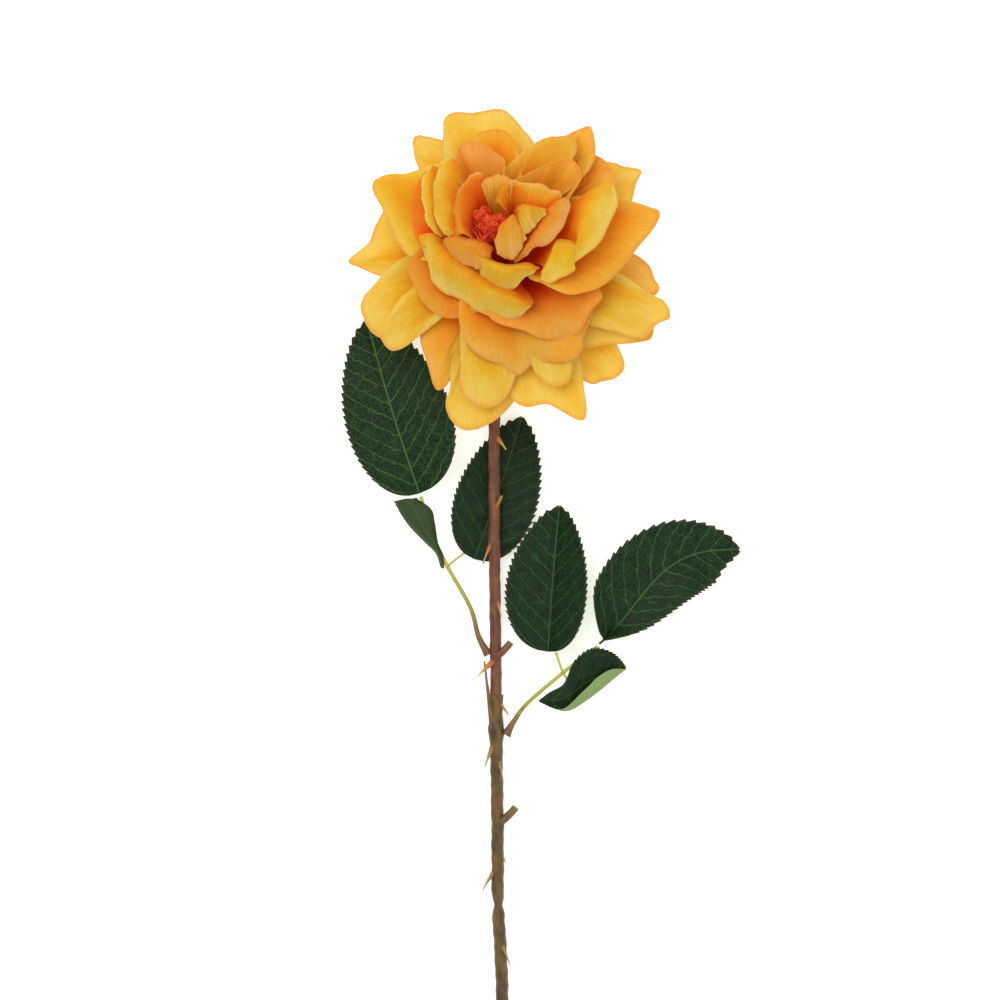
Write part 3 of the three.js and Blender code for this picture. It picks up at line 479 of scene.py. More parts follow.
def rolledSurface(shape, rim, crest):
    # a petal whose rim is rolled over outwards: each rib climbs from the foot to the crest as one cubic
    # curve and drops from there to the rim as another, with one slope where they meet
    (layer, leave, lip), roll = shape, rollPlan
    u = np.linspace(0, 1, petalPlan["across"])
    v = np.linspace(0, 1, petalPlan["along"])
    foot, footRise = footOf(layer)
    crestTurn, crestReach, crestRise = rimCurve(crest, u).T
    rimTurn, rimReach, rimRise = rimCurve(rim, u).T
    centre = (rim[0][0] + rim[-1][0]) / 2
    claw = np.radians(centre + (crestTurn - centre) * bloomPlan["clawShare"])
    top = leaning(crestReach, np.radians(crestTurn), crestRise)
    end = leaning(rimReach, np.radians(rimTurn), rimRise)
    start = leaning(foot + 0 * claw, claw, footRise + 0 * claw)
    upward = leaning(0.0, 0.0, 1.0)
    outward = leaning(np.ones_like(claw), claw, 0 * claw)
    over = end - top
    over = unit(over - (over @ upward)[:, None] * upward)
    climb, drop = (np.linalg.norm(a - b, axis=1)[:, None] for a, b in ((top, start), (end, top)))
    leaveAngle, lipAngle = math.radians(leave), math.radians(lip)
    first = start + roll["climb"] * climb * (outward * math.cos(leaveAngle) + upward * math.sin(leaveAngle))
    slope = unit(over + roll["slope"] * upward)
    before = top - roll["near"] * climb * slope
    after = top + roll["drop"] * drop * slope
    last = end - roll["drop"] * drop * (over * math.cos(lipAngle) + upward * math.sin(lipAngle))
    low = np.clip(v / roll["crestAt"], 0, 1)[:, None, None]
    high = np.clip((v - roll["crestAt"]) / (1 - roll["crestAt"]), 0, 1)[:, None, None]
    rising = cubic(start[None], first[None], before[None], top[None], low)
    falling = cubic(top[None], after[None], last[None], end[None], high)
    grid = np.where((v < roll["crestAt"])[:, None, None], rising, falling)
    return grid, np.broadcast_to(u, grid.shape[:2]), np.broadcast_to(v[:, None], grid.shape[:2])


def ruffled(grid, u, v, seed):
    # long soft ripples that grow towards the rim, and fine creases along the ribs
    dice = np.random.default_rng(seed)
    phase = dice.uniform(0, 2 * math.pi, 6)
    ripple = np.sin(2.2 * 2 * math.pi * u + phase[0])
    ripple = ripple + 0.6 * np.sin(4.3 * 2 * math.pi * u + phase[1] + 1.5 * v)
    crease = np.sin(9 * 2 * math.pi * u + phase[2] + 2 * v) + np.sin(15 * 2 * math.pi * u + phase[3] - v)
    lift = petalPlan["ripple"] * ripple * v ** 3 + petalPlan["crease"] * crease * v * (1 - 0.5 * v)
    return grid + gridNormals(grid) * lift[..., None]


petalTone = {   # tint, 0 for salmon and 1 for yellow, then how far its colours are pushed back towards the red foot: painted shade for petals that lie deep among their neighbours, and painted light towards the rim where it is negative
    "outer_petal_09": (0.4, 0.0), "outer_petal_05": (0.5, -0.1), "outer_petal_16": (0.4, 0.1),
    "outer_petal_17": (0.55, 0.1), "middle_petal_01": (1.0, 0.12), "middle_petal_02": (0.35, 0.1),
    "middle_petal_03": (0.7, 0.2), "middle_petal_04": (0.2, 0.22), "middle_petal_05": (0.15, 0.14),
    "middle_petal_06": (0.6, 0.1), "middle_petal_07": (0.55, 0.15), "middle_petal_08": (0.15, 0.45),
    "middle_petal_09": (0.85, 0.0), "inner_petal_01": (0.5, 0.1), "inner_petal_02": (0.15, 0.05),
    "inner_petal_03": (1.0, 0.0), "inner_petal_04": (0.95, 0.0), "inner_petal_05": (0.95, 0.0),
    "inner_petal_06": (0.5, 0.05), "inner_petal_07": (0.8, 0.0), "inner_petal_08": (0.1, 0.0),
    "inner_petal_09": (0.2, 0.05), "inner_petal_10": (0.25, 0.1), "inner_petal_11": (0.6, 0.0),
    "inner_petal_12": (0.65, 0.0), "inner_petal_13": (0.3, 0.0),
}
outerTone = (0.9, 0.0)


def petalMaterial():
    # printed cloth: red at the foot, orange up the blade and yellow or salmon towards the rim, which is
    # edged with a thin line of orange; fine streaks run along the petal, and light comes through the cloth;
    # a faint painted glow in the petal's own colour lifts its shade
    material, tree, shader = newMaterial("petalCloth", 0.85, Specular_IOR_Level=0.05, Subsurface_Weight=0.4,
                                         Subsurface_Radius=(1.0, 0.45, 0.12), Subsurface_Scale=0.003,
                                         Emission_Strength=0.05)
    along, over, tint = field(tree, "along"), field(tree, "across"), field(tree, "tint")
    deep = field(tree, "deep")
    streak = noise(tree, vector(tree, over * 60, along * 4, tint * 9), 1.0, 4.0, 0.6)
    cloud = noise(tree, vector(tree, over * 4, along * 3, tint * 31), 1.0, 3.0)
    # deep shifts the colours back towards the red-orange foot: painted shade on petals that lie deep among
    # others
    tone = along - deep + (cloud - 0.5) * 0.6 + (streak - 0.5) * 0.14
    yellow = ramp(tree, tone, (0.08, (220, 54, 10)), (0.3, (228, 92, 12)), (0.54, (227, 145, 26)),
                  (0.78, (224, 173, 46)), (1.0, (228, 194, 92)))
    salmon = ramp(tree, tone, (0.08, (214, 48, 12)), (0.3, (226, 78, 16)), (0.54, (227, 116, 30)),
                  (0.8, (225, 142, 54)), (1.0, (226, 156, 84)))
    color = mixColor(tree, tint, salmon, yellow)
    color = mixColor(tree, field(tree, "rim").step(0.0, 1.0) * 0.55, color, rgb(224, 128, 52))
    weave = noise(tree, vector(tree, over * 150, along * 9, tint * 5), 1.0, 2.0, 0.6)
    threads = ramp(tree, weave, (0.35, (178, 160, 140)), (0.65, (255, 255, 255)))
    color = mixColor(tree, 0.16, color, threads, "MULTIPLY")
    join(tree, color, shader, "Base Color")
    # the petal glows faintly in its own colour: a painted glow that lifts its shade
    join(tree, color, shader, "Emission Color")
    join(tree, bump(tree, streak * 0.6 + weave * 0.5, 0.5, 0.0006), shader, "Normal")
    return material


def addPetals():
    cloth = petalMaterial()
    for order, (name, (shape, *curves)) in enumerate(petalTable.items()):
        grid, u, v = rolledSurface(shape, *curves) if len(curves) == 2 else petalSurface(shape, *curves)
        grid = ruffled(grid, u, v, order) * mm + seat
        points, faces = sheetSolid(grid, petalPlan["thickness"] * mm)
        across, along = bothSides(u, v)
        side = np.abs(2 * across - 1) * smooth(0.2, 0.5, along)
        edge = smooth(petalPlan["edge"], 1, np.maximum(along, side))
        # the second tone value is painted shade, which reddens petals lying deep among their neighbours
        tint, deep = (np.full(len(along), value) for value in petalTone.get(name, outerTone))
        fields = {"across": across, "along": along, "tint": tint, "deep": deep, "rim": edge}
        finishPiece(meshObject(name + "_cloth", points, faces, fields), [name], cloth)
    print("petals:", len(petalTable))


addPetals()


def barSolid(line, radii, sides):
    # rings square to a line of points, each with its own radius, closed by a point at both ends
    way = unit(np.gradient(line, axis=0))
    level = unit(np.cross(way, (0, 0, 1.0)))
    above = np.cross(way, level)
    turn = np.linspace(0, 2 * math.pi, sides, endpoint=False)
    ring = np.cos(turn)[:, None, None] * level + np.sin(turn)[:, None, None] * above
    points = (line + ring * radii[:, None]).transpose(1, 0, 2)
    points = np.concatenate([points.reshape(-1, 3), line[:1], line[-1:]])
    down = lengthAlong(line)
    along = np.concatenate([np.repeat(down, sides), down[:1], down[-1:]])
    return points, tubeFaces(len(line), sides), along


def joined(solids):
    # several (points, faces, fields) as one
    points, faces, fields, count = [], [], [], 0
    for some, corners, values in solids:
        points.append(some)
        faces += [[corner + count for corner in face] for face in corners]
        fields.append(values)
        count += len(some)
    return np.concatenate(points), faces, np.concatenate(fields)


home = seat - np.array(bloomPlan["seat"]) * mm   # where the design's own origin lies
neckTop = seat + leaning(0.0, 0.0, hipOutline()[0, 1] - 0.3) * mm
neckWay = unit(leaning(0.0, 0.0, -1.0))

stemPlan = dict(
    upperDiameter=4.2, lowerDiameter=4.6, upperLength=148, wholeLength=334, collar=5.6, node=6, nodeBelow=13,
    pinch=3, pinchBelow=76.5, jointHeight=5.2, jointAside=-1.4, gap=0.02, sides=28,
    # thorns and stubs: aside, down the stem, height, turn, rise, length, root and end radius, and brownness
    upperThorns=[
        (-1.6, 54, 6.6, -50, 25, 6.5, 1.5, 0.25, 0.0), (-1.8, 80, 6.8, 62, 30, 6, 1.1, 0.5, 0.6),
        (-2.6, 92, 6.2, 246, 8, 9, 1.3, 0.25, 0.5), (-1.4, 113, 6.4, -74, 15, 7, 1.1, 0.2, 0.3),
        (-1.4, 134, 5.9, 44, 10, 7.5, 1.5, 1.3, 1.0), (-2.2, 136, 5.9, 222, 5, 8, 1.6, 0.3, 0.0),
        (-2.4, 82, 6.2, 80, 40, 2, 0.9, 0.2, 0.8), (-2.2, 48, 6.5, 206, 5, 7, 1.2, 0.3, 0.7)],
    lowerThorns=[
        (-1.4, 2, 5.8, -50, 8, 7, 1.3, 0.25, 0.5), (-2.4, 19, 5.4, 246, 10, 8, 1.5, 0.25, 0.3),
        (-0.6, 24, 5.6, -76, 25, 8, 1.2, 0.2, 0.5), (-0.8, 47, 5, 42, 10, 9, 1.6, 1.4, 1.0),
        (-0.4, 56, 4.8, -66, 10, 6, 1.1, 0.2, 0.5), (-1.4, 64, 4.6, 236, 8, 9, 1.4, 0.25, 0.4),
        (-0.2, 90, 4.4, -66, 15, 10, 1.3, 0.2, 0.5), (-2.6, 11, 5.8, 97.6, 2, 23.5, 1.4, 0.35, 0.9)],
)


def upperLine():
    plan, y = stemPlan, neckTop[1] - home[1]
    bend = [(8.4, y - 8 * mm, 8), (6.5, y - 18 * mm, 6.6), (2, y - 30 * mm, 6.4), (-1.6, y - 44 * mm, 6.3),
            (-2.1, y - 65 * mm, 6.1), (-1.9, y - 105 * mm, 5.7),
            (plan["jointAside"], y - plan["upperLength"] * mm, plan["jointHeight"])]
    places = [home + (x * mm, down, z * mm) for x, down, z in bend]
    return rimCurve([neckTop, neckTop + neckWay * 5 * mm, *places], np.linspace(0, 1, 220))


def lowerLine():
    plan = stemPlan
    top = -(plan["upperLength"] + plan["gap"])
    bend = [(plan["jointAside"], top, plan["jointHeight"]), (-1.3, top - 20, 4.9), (-0.9, top - 50, 4.4),
            (-0.7, top - plan["pinchBelow"], 4), (0.8, top - 109.5, 3.4),
            (2, -plan["wholeLength"], plan["lowerDiameter"] / 2)]
    start = np.array([home[0], neckTop[1], home[2]])
    return rimCurve([start + np.array(place) * mm for place in bend], np.linspace(0, 1, 300))


def thorn(row, top):
    # a hooked cone: it leaves the stem level with it and bends out, wide at its root
    aside, down, height, turn, rise, length, root, end, brown = row
    turn, rise = math.radians(turn), math.radians(rise)
    way = np.array([math.cos(rise) * math.cos(turn), math.cos(rise) * math.sin(turn), math.sin(rise)])
    share = np.linspace(0, 1, 14)[:, None]
    slide = np.array([0, -math.copysign(1, way[1]), 0]) * 0.12 * length
    line = np.array([home[0], top, home[2]]) + np.array([aside, -down, height]) * mm
    line = line + (way * length * share + slide * (share - share ** 2) * 2) * mm
    radii = (end + (root - end) * (1 - share[:, 0]) ** 1.6) * mm
    points, faces, along = barSolid(line, radii, 12)
    return points, faces, np.stack([1 + along / along.max(), brown + 0 * along], -1)


def stemSolid(line, radii, thorns, top):
    # the first field is 0 on the stem and runs from 1 to 2 along each thorn; the second is its brownness
    points, faces, along = barSolid(line, radii, stemPlan["sides"])
    dice = np.random.default_rng(5)
    phase = dice.uniform(0, 6.3, 4)
    wave = np.sin(along / mm * 0.45 + phase[0]) + np.sin(along / mm * 1.15 + phase[1] + points[:, 0] / mm)
    points[:, 0] += 0.08 * mm * wave
    stem = (points, faces, np.zeros((len(along), 2)))
    points, faces, fields = joined([stem, *[thorn(row, top) for row in thorns]])
    return points, faces, {"part": fields[:, 0], "brown": fields[:, 1]}


def stemMaterial(name, barkStops, patchTone, patchShare, thornStops):
    # the bark's colours lie in clouds, with patches and fine long fibres over them
    material, tree, shader = newMaterial(name, 0.42)
    place = node(tree, "ShaderNodeTexCoord", {}, {}, out="Object")
    part = field(tree, "part")
    split = tree.nodes.new("ShaderNodeSeparateXYZ")
    tree.links.new(place.socket, split.inputs[0])
    x, y, z = (Wire(socket) for socket in split.outputs)
    fibre = noise(tree, vector(tree, x * 2600, y * 90, z * 2600), 1.0, 3.0)
    patch = noise(tree, vector(tree, x * 260, y * 130, z * 260), 1.0, 4.0, 0.6)
    bark = ramp(tree, patch.step(0.3, 0.7), *barkStops)
    stem = mixColor(tree, patch.step(patchShare, patchShare + 0.12), bark, rgb(*patchTone))
    stem = mixColor(tree, 0.35, stem, node(tree, "ShaderNodeValToRGB", {"stops": [
        (0.3, (0.05, 0.03, 0.015, 1)), (0.7, (0.9, 0.8, 0.6, 1))]}, [fibre]), "SOFT_LIGHT")
    spike = mixColor(tree, field(tree, "brown") * 0.9, ramp(tree, part - 1, *thornStops), bark)
    join(tree, mixColor(tree, part.step(0.9, 1.0), stem, spike), shader, "Base Color")
    join(tree, bump(tree, fibre * 0.5 + patch, 0.5, 0.0008), shader, "Normal")
    join(tree, patch * 0.3 + 0.3, shader, "Roughness")
    return material


def lowerRadii(line):
    # the collar, the node and the pinch are bell curves down the stem, and a ring stands near its end
    plan, down = stemPlan, lengthAlong(line) / mm
    thick = plan["lowerDiameter"]
    collar = (plan["collar"] - thick) * np.exp(-(down / 3) ** 2)
    swelling = (plan["node"] - thick) * np.exp(-((down - plan["nodeBelow"]) / 3.2) ** 2)
    pinch = (thick - plan["pinch"]) * np.exp(-((down - plan["pinchBelow"]) / 2) ** 2)
    ring = 0.25 * np.exp(-((down - down.max() + 5) / 1.2) ** 2)
    return (thick + collar + swelling - pinch + ring) / 2 * mm


def addStems():
    plan, line = stemPlan, upperLine()
    radii = np.full(len(line), plan["upperDiameter"] / 2 * mm)
    red = stemMaterial(
        "redStemSkin", [(0.0, (86, 44, 22)), (0.5, (106, 56, 26)), (1.0, (122, 76, 34))],
        (104, 92, 44), 0.68, [(0.0, (176, 56, 26)), (0.4, (206, 128, 52)), (1.0, (222, 192, 104))])
    upper = stemSolid(line, radii, plan["upperThorns"], neckTop[1])
    finishPiece(meshObject("upper_stem_skin", *upper), ["upper_stem"], red)
    olive = stemMaterial(
        "oliveStemSkin", [(0.0, (68, 48, 14)), (0.5, (92, 68, 18)), (1.0, (114, 88, 26))],
        (78, 46, 34), 0.6, [(0.0, (140, 104, 48)), (0.4, (178, 146, 72)), (1.0, (212, 190, 116))])
    line = lowerLine()
    joint = neckTop[1] - plan["upperLength"] * mm
    lower = stemSolid(line, lowerRadii(line), plan["lowerThorns"], joint)
    finishPiece(meshObject("lower_stem_skin", *lower), ["lower_stem"], olive)
    print("stems: 2 with", len(plan["upperThorns"]) + len(plan["lowerThorns"]), "thorns and stubs")


addStems()


# each bar of a leaf stalk: its diameter, what its root flares towards, and its places from the middle of
# the stem's joint, level with the table
stalkPlan = {
    "left_leaf_stalk": [
        (1.5, 2.3, [(-2.9, 14.6, 5.7), (-6.5, 21.5, 6), (-9.5, 32, 6), (-17.8, 46.8, 6), (-23, 58, 5.4),
                    (-27.6, 72.4, 5.6)]),
        (0.95, 1.5, [(-17.8, 46.8, 6), (-14.8, 49.4, 3.6), (-11.8, 51.6, 2)]),
        (0.95, 1.5, [(-17.8, 46.8, 6), (-19.4, 50.6, 6.6), (-20.8, 53.2, 7.2)])],
    "right_leaf_stalk": [
        (1.4, 2.6, [(3.6, -14.6, 5.2), (6.6, -9.5, 5.7), (11.6, -2.9, 6), (24.3, 8, 6), (31, 13, 6),
                    (37.2, 17.8, 6.2)]),
        (0.95, 1.5, [(24.3, 8, 6), (21.8, 15.4, 5.2)]),
        (0.95, 1.5, [(24.3, 8, 6), (26, 5.6, 7.4)])],
}


stalkForm = dict(rows=48, sides=14, flare=0.625, mainFade=7, sideFade=60, sideTone=0.75)


def fromJoint(places):
    plan = stemPlan
    joint = np.array([home[0] + plan["jointAside"] * mm, neckTop[1] - plan["upperLength"] * mm, home[2]])
    return joint + np.array(places, float) * mm


def stalkMaterial():
    material, tree, shader = newMaterial("stalkSkin", 0.4)
    share = field(tree, "along")
    place = node(tree, "ShaderNodeTexCoord", {}, {}, out="Object")
    cloud = noise(tree, place, 420.0, 3.0)
    color = ramp(tree, share + (cloud - 0.5) * 0.3, (0.0, (104, 66, 38)), (0.14, (126, 96, 42)),
                 (0.34, (164, 158, 52)), (0.7, (190, 188, 84)), (1.0, (200, 198, 112)))
    join(tree, color, shader, "Base Color")
    join(tree, bump(tree, cloud, 0.4, 0.0005), shader, "Normal")
    return material


def addStalks():
    # the main line flares slowly at its root, and the side stalks at their very start
    skin, form = stalkMaterial(), stalkForm
    for name, bars in stalkPlan.items():
        solids = []
        for slim, thick, places in bars:
            share = np.linspace(0, 1, form["rows"])
            main = len(places) > 3
            fade = form["mainFade"] if main else form["sideFade"]
            radii = slim / 2 + form["flare"] * (thick - slim / 2) * np.exp(-share * fade)
            points, faces, along = barSolid(rimCurve(fromJoint(places), share), radii * mm, form["sides"])
            solids.append((points, faces, along / along.max() if main else form["sideTone"] + 0 * along))
        points, faces, along = joined(solids)
        finishPiece(meshObject(name + "_skin", points, faces, {"along": along}), [name], skin)
    print("leaf stalks:", len(stalkPlan))


addStalks()


# flat leaflets: foot and tip from the joint, half widths, folds in degrees, sideways bow with its skew,
# arch, saw teeth on each side, how clear the veins are, and the share of the length that is a narrow neck
leafPlan = {
    "left_leaf_tip": dict(foot=(-28, 73.6, 6), tip=(-47.2, 136.8, 1.8), left=17.4, right=20.8, foldLeft=6,
                          foldRight=14, bow=0.8, skew=1.0, arch=3, teeth=25, veins=0.85, neck=0.0),
    "left_leaf_upper": dict(foot=(-8, 49.6, 1.9), tip=(9.4, 101.2, 1.6), left=14.2, right=14.6, foldLeft=5,
                            foldRight=6, bow=-0.6, skew=1.0, arch=0.5, teeth=22, veins=0.35, neck=0.0),
    "right_leaf_tip": dict(foot=(37.6, 18.6, 6.5), tip=(88.8, 53, 1.4), left=17.2, right=13.8, foldLeft=8,
                           foldRight=16, bow=9, skew=1.45, arch=3.5, teeth=25, veins=0.65, neck=0.04,
                           rightPeak=0.6, rightTaper=0.5),
    "right_leaf_upper": dict(foot=(19, 15.8, 5), tip=(23.2, 68.8, 3.6), left=16.4, right=16.4, foldLeft=4,
                             foldRight=43, bow=0.3, skew=1.0, arch=1.5, teeth=23, veins=0.5, neck=0.0),
}
leafForm = dict(
    rowsPerTooth=6, columns=44, tooth=0.95, thickness=0.34, peak=0.4, fullness=1.25, rim=0.7,
    ribDepth=0.35, ribWidth=1.1, wave=0.35, neckFold=50,
    quilt=0.16, veinStep=6.2, veinSlope=0.75, veinCurve=0.012,
)


def swell(v, peak):
    # (v / peak)^(k peak) ((1 - v) / (1 - peak))^(k (1 - peak)), which is 1 at the peak
    full = leafForm["fullness"]
    return (v / peak) ** (full * peak) * ((1 - v) / (1 - peak)) ** (full * (1 - peak))


def leafSurface(plan, seed):
    # a blade about a bowed midrib: its half widths swell to their peaks, each half tilts by its own fold,
    # saw teeth stand along the rim, and the blade sinks a little along its veins
    form = leafForm
    rows = plan["teeth"] * form["rowsPerTooth"]
    v = np.linspace(0, 0.999, rows)
    u = np.sin(np.linspace(-1, 1, form["columns"]) * math.pi / 2)
    foot, tip = np.array(plan["foot"], float), np.array(plan["tip"], float)
    chord = tip - foot
    length = np.linalg.norm(chord)
    level = unit(np.cross(chord, (0, 0, 1.0)))
    up = np.cross(level, chord / length)
    bow = plan["bow"] * np.sin(math.pi * v ** plan["skew"])
    arch = plan["arch"] * np.sin(math.pi * v)
    spine = foot + chord * v[:, None] - level * bow[:, None] + up * arch[:, None]
    way = unit(np.gradient(spine, axis=0))
    side = unit(np.cross(way, up))
    above = np.cross(side, way)
    v, u = v[:, None], u[None]
    opened = np.clip((v - plan["neck"]) / (1 - plan["neck"]), 0, 1)
    half = np.where(u < 0, plan["left"] * swell(opened, form["peak"]),
                    plan["right"] * swell(opened, plan.get("rightPeak", form["peak"]))
                    * (1 - plan.get("rightTaper", 0) * smooth(0.82, 0.97, v)))
    half = half + form["rim"] * smooth(1, 0.94, v)
    saw = (np.arange(rows) % form["rowsPerTooth"] / (form["rowsPerTooth"] - 1))[:, None]
    rim = smooth(0.82, 1, np.abs(u)) * smooth(0.06, 0.2, opened)
    out = np.abs(u) * half + form["tooth"] * (saw - 0.5) * rim * smooth(1, 0.96, v)
    fold = np.radians(np.where(u < 0, plan["foldLeft"], plan["foldRight"]))
    if plan["neck"]:
        fold = fold + math.radians(form["neckFold"]) * smooth(0.28, 0, v)
    veinWay = v * length - form["veinSlope"] * out
    phase = np.random.default_rng(seed).uniform(0, 2 * math.pi)
    lift = out * np.sin(fold) + form["ribDepth"] * (1 - np.exp(-(out / form["ribWidth"]) ** 2))
    lift = lift - form["quilt"] * np.cos(veinWay / form["veinStep"] * 2 * math.pi) * np.abs(u)
    lift = lift + form["wave"] * np.sin(v * 11 + phase + np.sign(u)) * u ** 2 * smooth(0, 0.2, v)
    sideways = (np.sign(u) * out * np.cos(fold))[..., None]
    forward = (form["tooth"] * 0.5 * saw * rim)[..., None]
    grid = spine[:, None] + side[:, None] * sideways + above[:, None] * lift[..., None]
    return grid + way[:, None] * forward, v * length + 0 * u, np.sign(u) * out, half - out


# folded leaflets: rails of places from the joint, which the blade runs through from one to the next; then,
# for its first and last rail, the stretch that has teeth, and how much of the back shows on each side
foldPlan = {
    # the far half lies open and the near half is folded up over it along a straight crease
    "right_leaf_lower": dict(
        rails=[
            [(15.6, -2.1, 8), (19.3, 0.8, 9), (24, 3.4, 9), (26, 6.6, 9.4), (28.2, 11.8, 10),
             (33.2, 16.2, 10.6), (37.7, 16.9, 10.8), (42.6, 15.2, 11), (45.6, 12.4, 11.4),
             (47.3, 9.8, 12)],
            [(15.6, -2.1, 8.2), (19.6, -1.2, 10), (24.2, -0.4, 10.6), (27, 2.6, 11.2), (29.6, 6.8, 11.8),
             (32, 10.4, 12.2), (35.2, 13.4, 12.2), (38.6, 14.4, 12.2), (43, 12.8, 12.2),
             (47.3, 9.8, 12.2)],
            [(15.6, -2.2, 7.8), (17.6, -3, 8.6), (21, -4.4, 9), (24.2, -5.1, 9.2), (27.4, -4.5, 9.4),
             (31.2, -2.2, 9.6), (35.2, 0.8, 9.8), (39.4, 4, 10.2), (43.6, 7.4, 11), (47.3, 9.6, 12)],
            [(15.6, -2.2, 7.6), (17.8, -3.2, 8.2), (21.2, -4.6, 8.6), (24.4, -5.2, 10),
             (27.8, -4.4, 11.6), (32.2, -1.4, 12.6), (36.8, 2, 13), (41.2, 5.6, 13), (44.6, 7.8, 12.8),
             (47.3, 9.5, 12.4)],
            [(15.6, -2.3, 7.4), (17.8, -3.3, 8), (21.4, -4.8, 8.4), (24.4, -5, 11.6), (27.2, -3.1, 13),
             (30.6, 0.4, 13.9), (33.8, 3.4, 14.2), (37, 6.6, 14.2), (42, 9.4, 13.8), (47.3, 9.5, 12.6)],
        ],
        toothed=((0.45, 1.0), (0.0, 0.3)), teeth=30, under=(0.0, 1.0), veins=0.35),
    # folded shut and seen from its back, with the pale rims of both halves showing
    "left_leaf_lower": dict(
        rails=[
            [(-20.2, 46.4, 7), (-21.9, 51.6, 8), (-25.8, 55.6, 9.4), (-31.4, 61.4, 11), (-34.9, 66.4, 12),
             (-37, 70.7, 12.6)],
            [(-19.6, 46.2, 7.2), (-21.4, 51.4, 8.8), (-24.6, 55.6, 11), (-29, 61.3, 13),
             (-32.8, 66.6, 14), (-35.6, 71, 14.2)],
            [(-19.4, 46.2, 7.4), (-20.9, 51.4, 9.4), (-23.4, 56.2, 12), (-26.4, 62, 13.8),
             (-29.6, 67.2, 14.8), (-33, 71.6, 14.8)],
            [(-19.2, 46.1, 7.4), (-20.4, 51.6, 9), (-22.6, 56.8, 11.6), (-24.2, 62.4, 13.2),
             (-26, 67.6, 14), (-30.4, 71.6, 14.2)],
            [(-19, 46.1, 7.2), (-19.6, 51.6, 8), (-21.2, 55, 9.8), (-22.4, 62.6, 11.2), (-23.8, 67.8, 12),
             (-29.4, 71.8, 12.6)],
        ],
        toothed=((0.9, 1.0), (0.9, 1.0)), teeth=16, under=(0.14, 0.14), veins=0.15),
}


def foldedSurface(plan):
    # smooth curves along the rails, and smooth curves across from rail to rail
    form = leafForm
    rows = plan["teeth"] * form["rowsPerTooth"]
    v, t = np.linspace(0, 1, rows), np.linspace(0, 1, form["columns"])
    rails = np.stack([rimCurve(rail, v) for rail in plan["rails"]])
    grid = rimCurve(rails.reshape(len(rails), -1), t).reshape(len(t), rows, 3).transpose(1, 0, 2)
    saw = (np.arange(rows) % form["rowsPerTooth"] / (form["rowsPerTooth"] - 1) - 0.3) * form["tooth"]
    for edge, inner, (low, high) in ((0, 1, plan["toothed"][0]), (-1, -2, plan["toothed"][1])):
        away = unit(grid[:, edge] - grid[:, inner])
        mask = smooth(low - 0.03, low + 0.03, v) * smooth(high + 0.03, high - 0.03, v)
        grid[:, edge] += away * (saw * mask)[:, None]
    length = lengthAlong(grid[:, len(t) // 2])
    steps = np.linalg.norm(np.diff(grid, axis=1), axis=2)
    over = np.concatenate([np.zeros((rows, 1)), np.cumsum(steps, axis=1)], 1)
    middle = over[:, -1:] * 0.5
    edge = np.minimum(over, over[:, -1:] - over)
    return grid, length[:, None] + 0 * over, over - middle, edge


def leafMaterial():
    # dark green printed with a net of pale veins; the rim is browned, and the back is pale
    material, tree, shader = newMaterial("leafCloth", 0.5, Specular_IOR_Level=0.12)
    along, aside = field(tree, "along"), field(tree, "aside")
    edge, show, under = field(tree, "edge"), field(tree, "show"), field(tree, "under")
    out = aside.math("ABSOLUTE")
    place = vector(tree, along, aside)
    warp = noise(tree, place, 0.3, 2.0)
    jag = noise(tree, place, 1.1, 2.0)
    veinWay = along - out * leafForm["veinSlope"] - out * out * leafForm["veinCurve"]
    veinWay = veinWay * (1 / leafForm["veinStep"]) + (warp - 0.5) * 0.5 + (jag - 0.5) * 0.15
    lateral = 1 - ((veinWay.math("FRACT") - 0.5).math("ABSOLUTE")).step(0.015, 0.06)
    net, fine = (node(tree, "ShaderNodeTexVoronoi", {"feature": "DISTANCE_TO_EDGE"},
                      {"Vector": place, "Scale": scale}, out="Distance") for scale in (0.42, 1.1))
    rib = 1 - out.step(0.16, 0.42)
    lines = rib.math("MAXIMUM", lateral * 0.85).math("MAXIMUM", (1 - net.step(0.01, 0.045)) * 0.45)
    lines = lines.math("MAXIMUM", (1 - fine.step(0.01, 0.08)) * 0.2)
    patch = noise(tree, place, 0.16, 3.0)
    grain = noise(tree, place, 3.2, 2.0, 0.7)
    top = ramp(tree, patch + (grain - 0.5) * 0.5, (0.25, (10, 27, 14)), (0.5, (15, 38, 19)),
               (0.75, (24, 50, 24)))
    top = mixColor(tree, lines * show * 0.7, top, rgb(84, 128, 62))
    top = mixColor(tree, (1 - edge.step(0.2, 1.1)) * 0.6, top, rgb(84, 56, 44))
    back = mixColor(tree, lines * 0.35, rgb(132, 156, 96), rgb(166, 184, 122))
    join(tree, mixColor(tree, under, top, back), shader, "Base Color")
    join(tree, patch * 0.25 + 0.36, shader, "Roughness")
    join(tree, bump(tree, grain * 0.25 + lines * 0.6, 0.4, 0.0004), shader, "Normal")
    return material


def addLeaflets():
    cloth = leafMaterial()
    pieces = [(name, leafSurface(plan, order), plan) for order, (name, plan) in enumerate(leafPlan.items())]
    pieces += [(name, foldedSurface(plan), plan) for name, plan in foldPlan.items()]
    for name, (grid, along, aside, edge), plan in pieces:
        points, faces = sheetSolid(fromJoint(grid), leafForm["thickness"] * mm)
        count = along.size
        under = np.repeat(plan.get("under", (0.0, 1.0)), count)
        fields = dict(zip(("along", "aside", "edge"), bothSides(along, aside, edge)))
        fields.update(show=np.full(2 * count, plan["veins"]), under=under)
        finishPiece(meshObject(name + "_blade", points, faces, fields), [name], cloth)
    print("leaflets:", len(pieces))


addLeaflets()


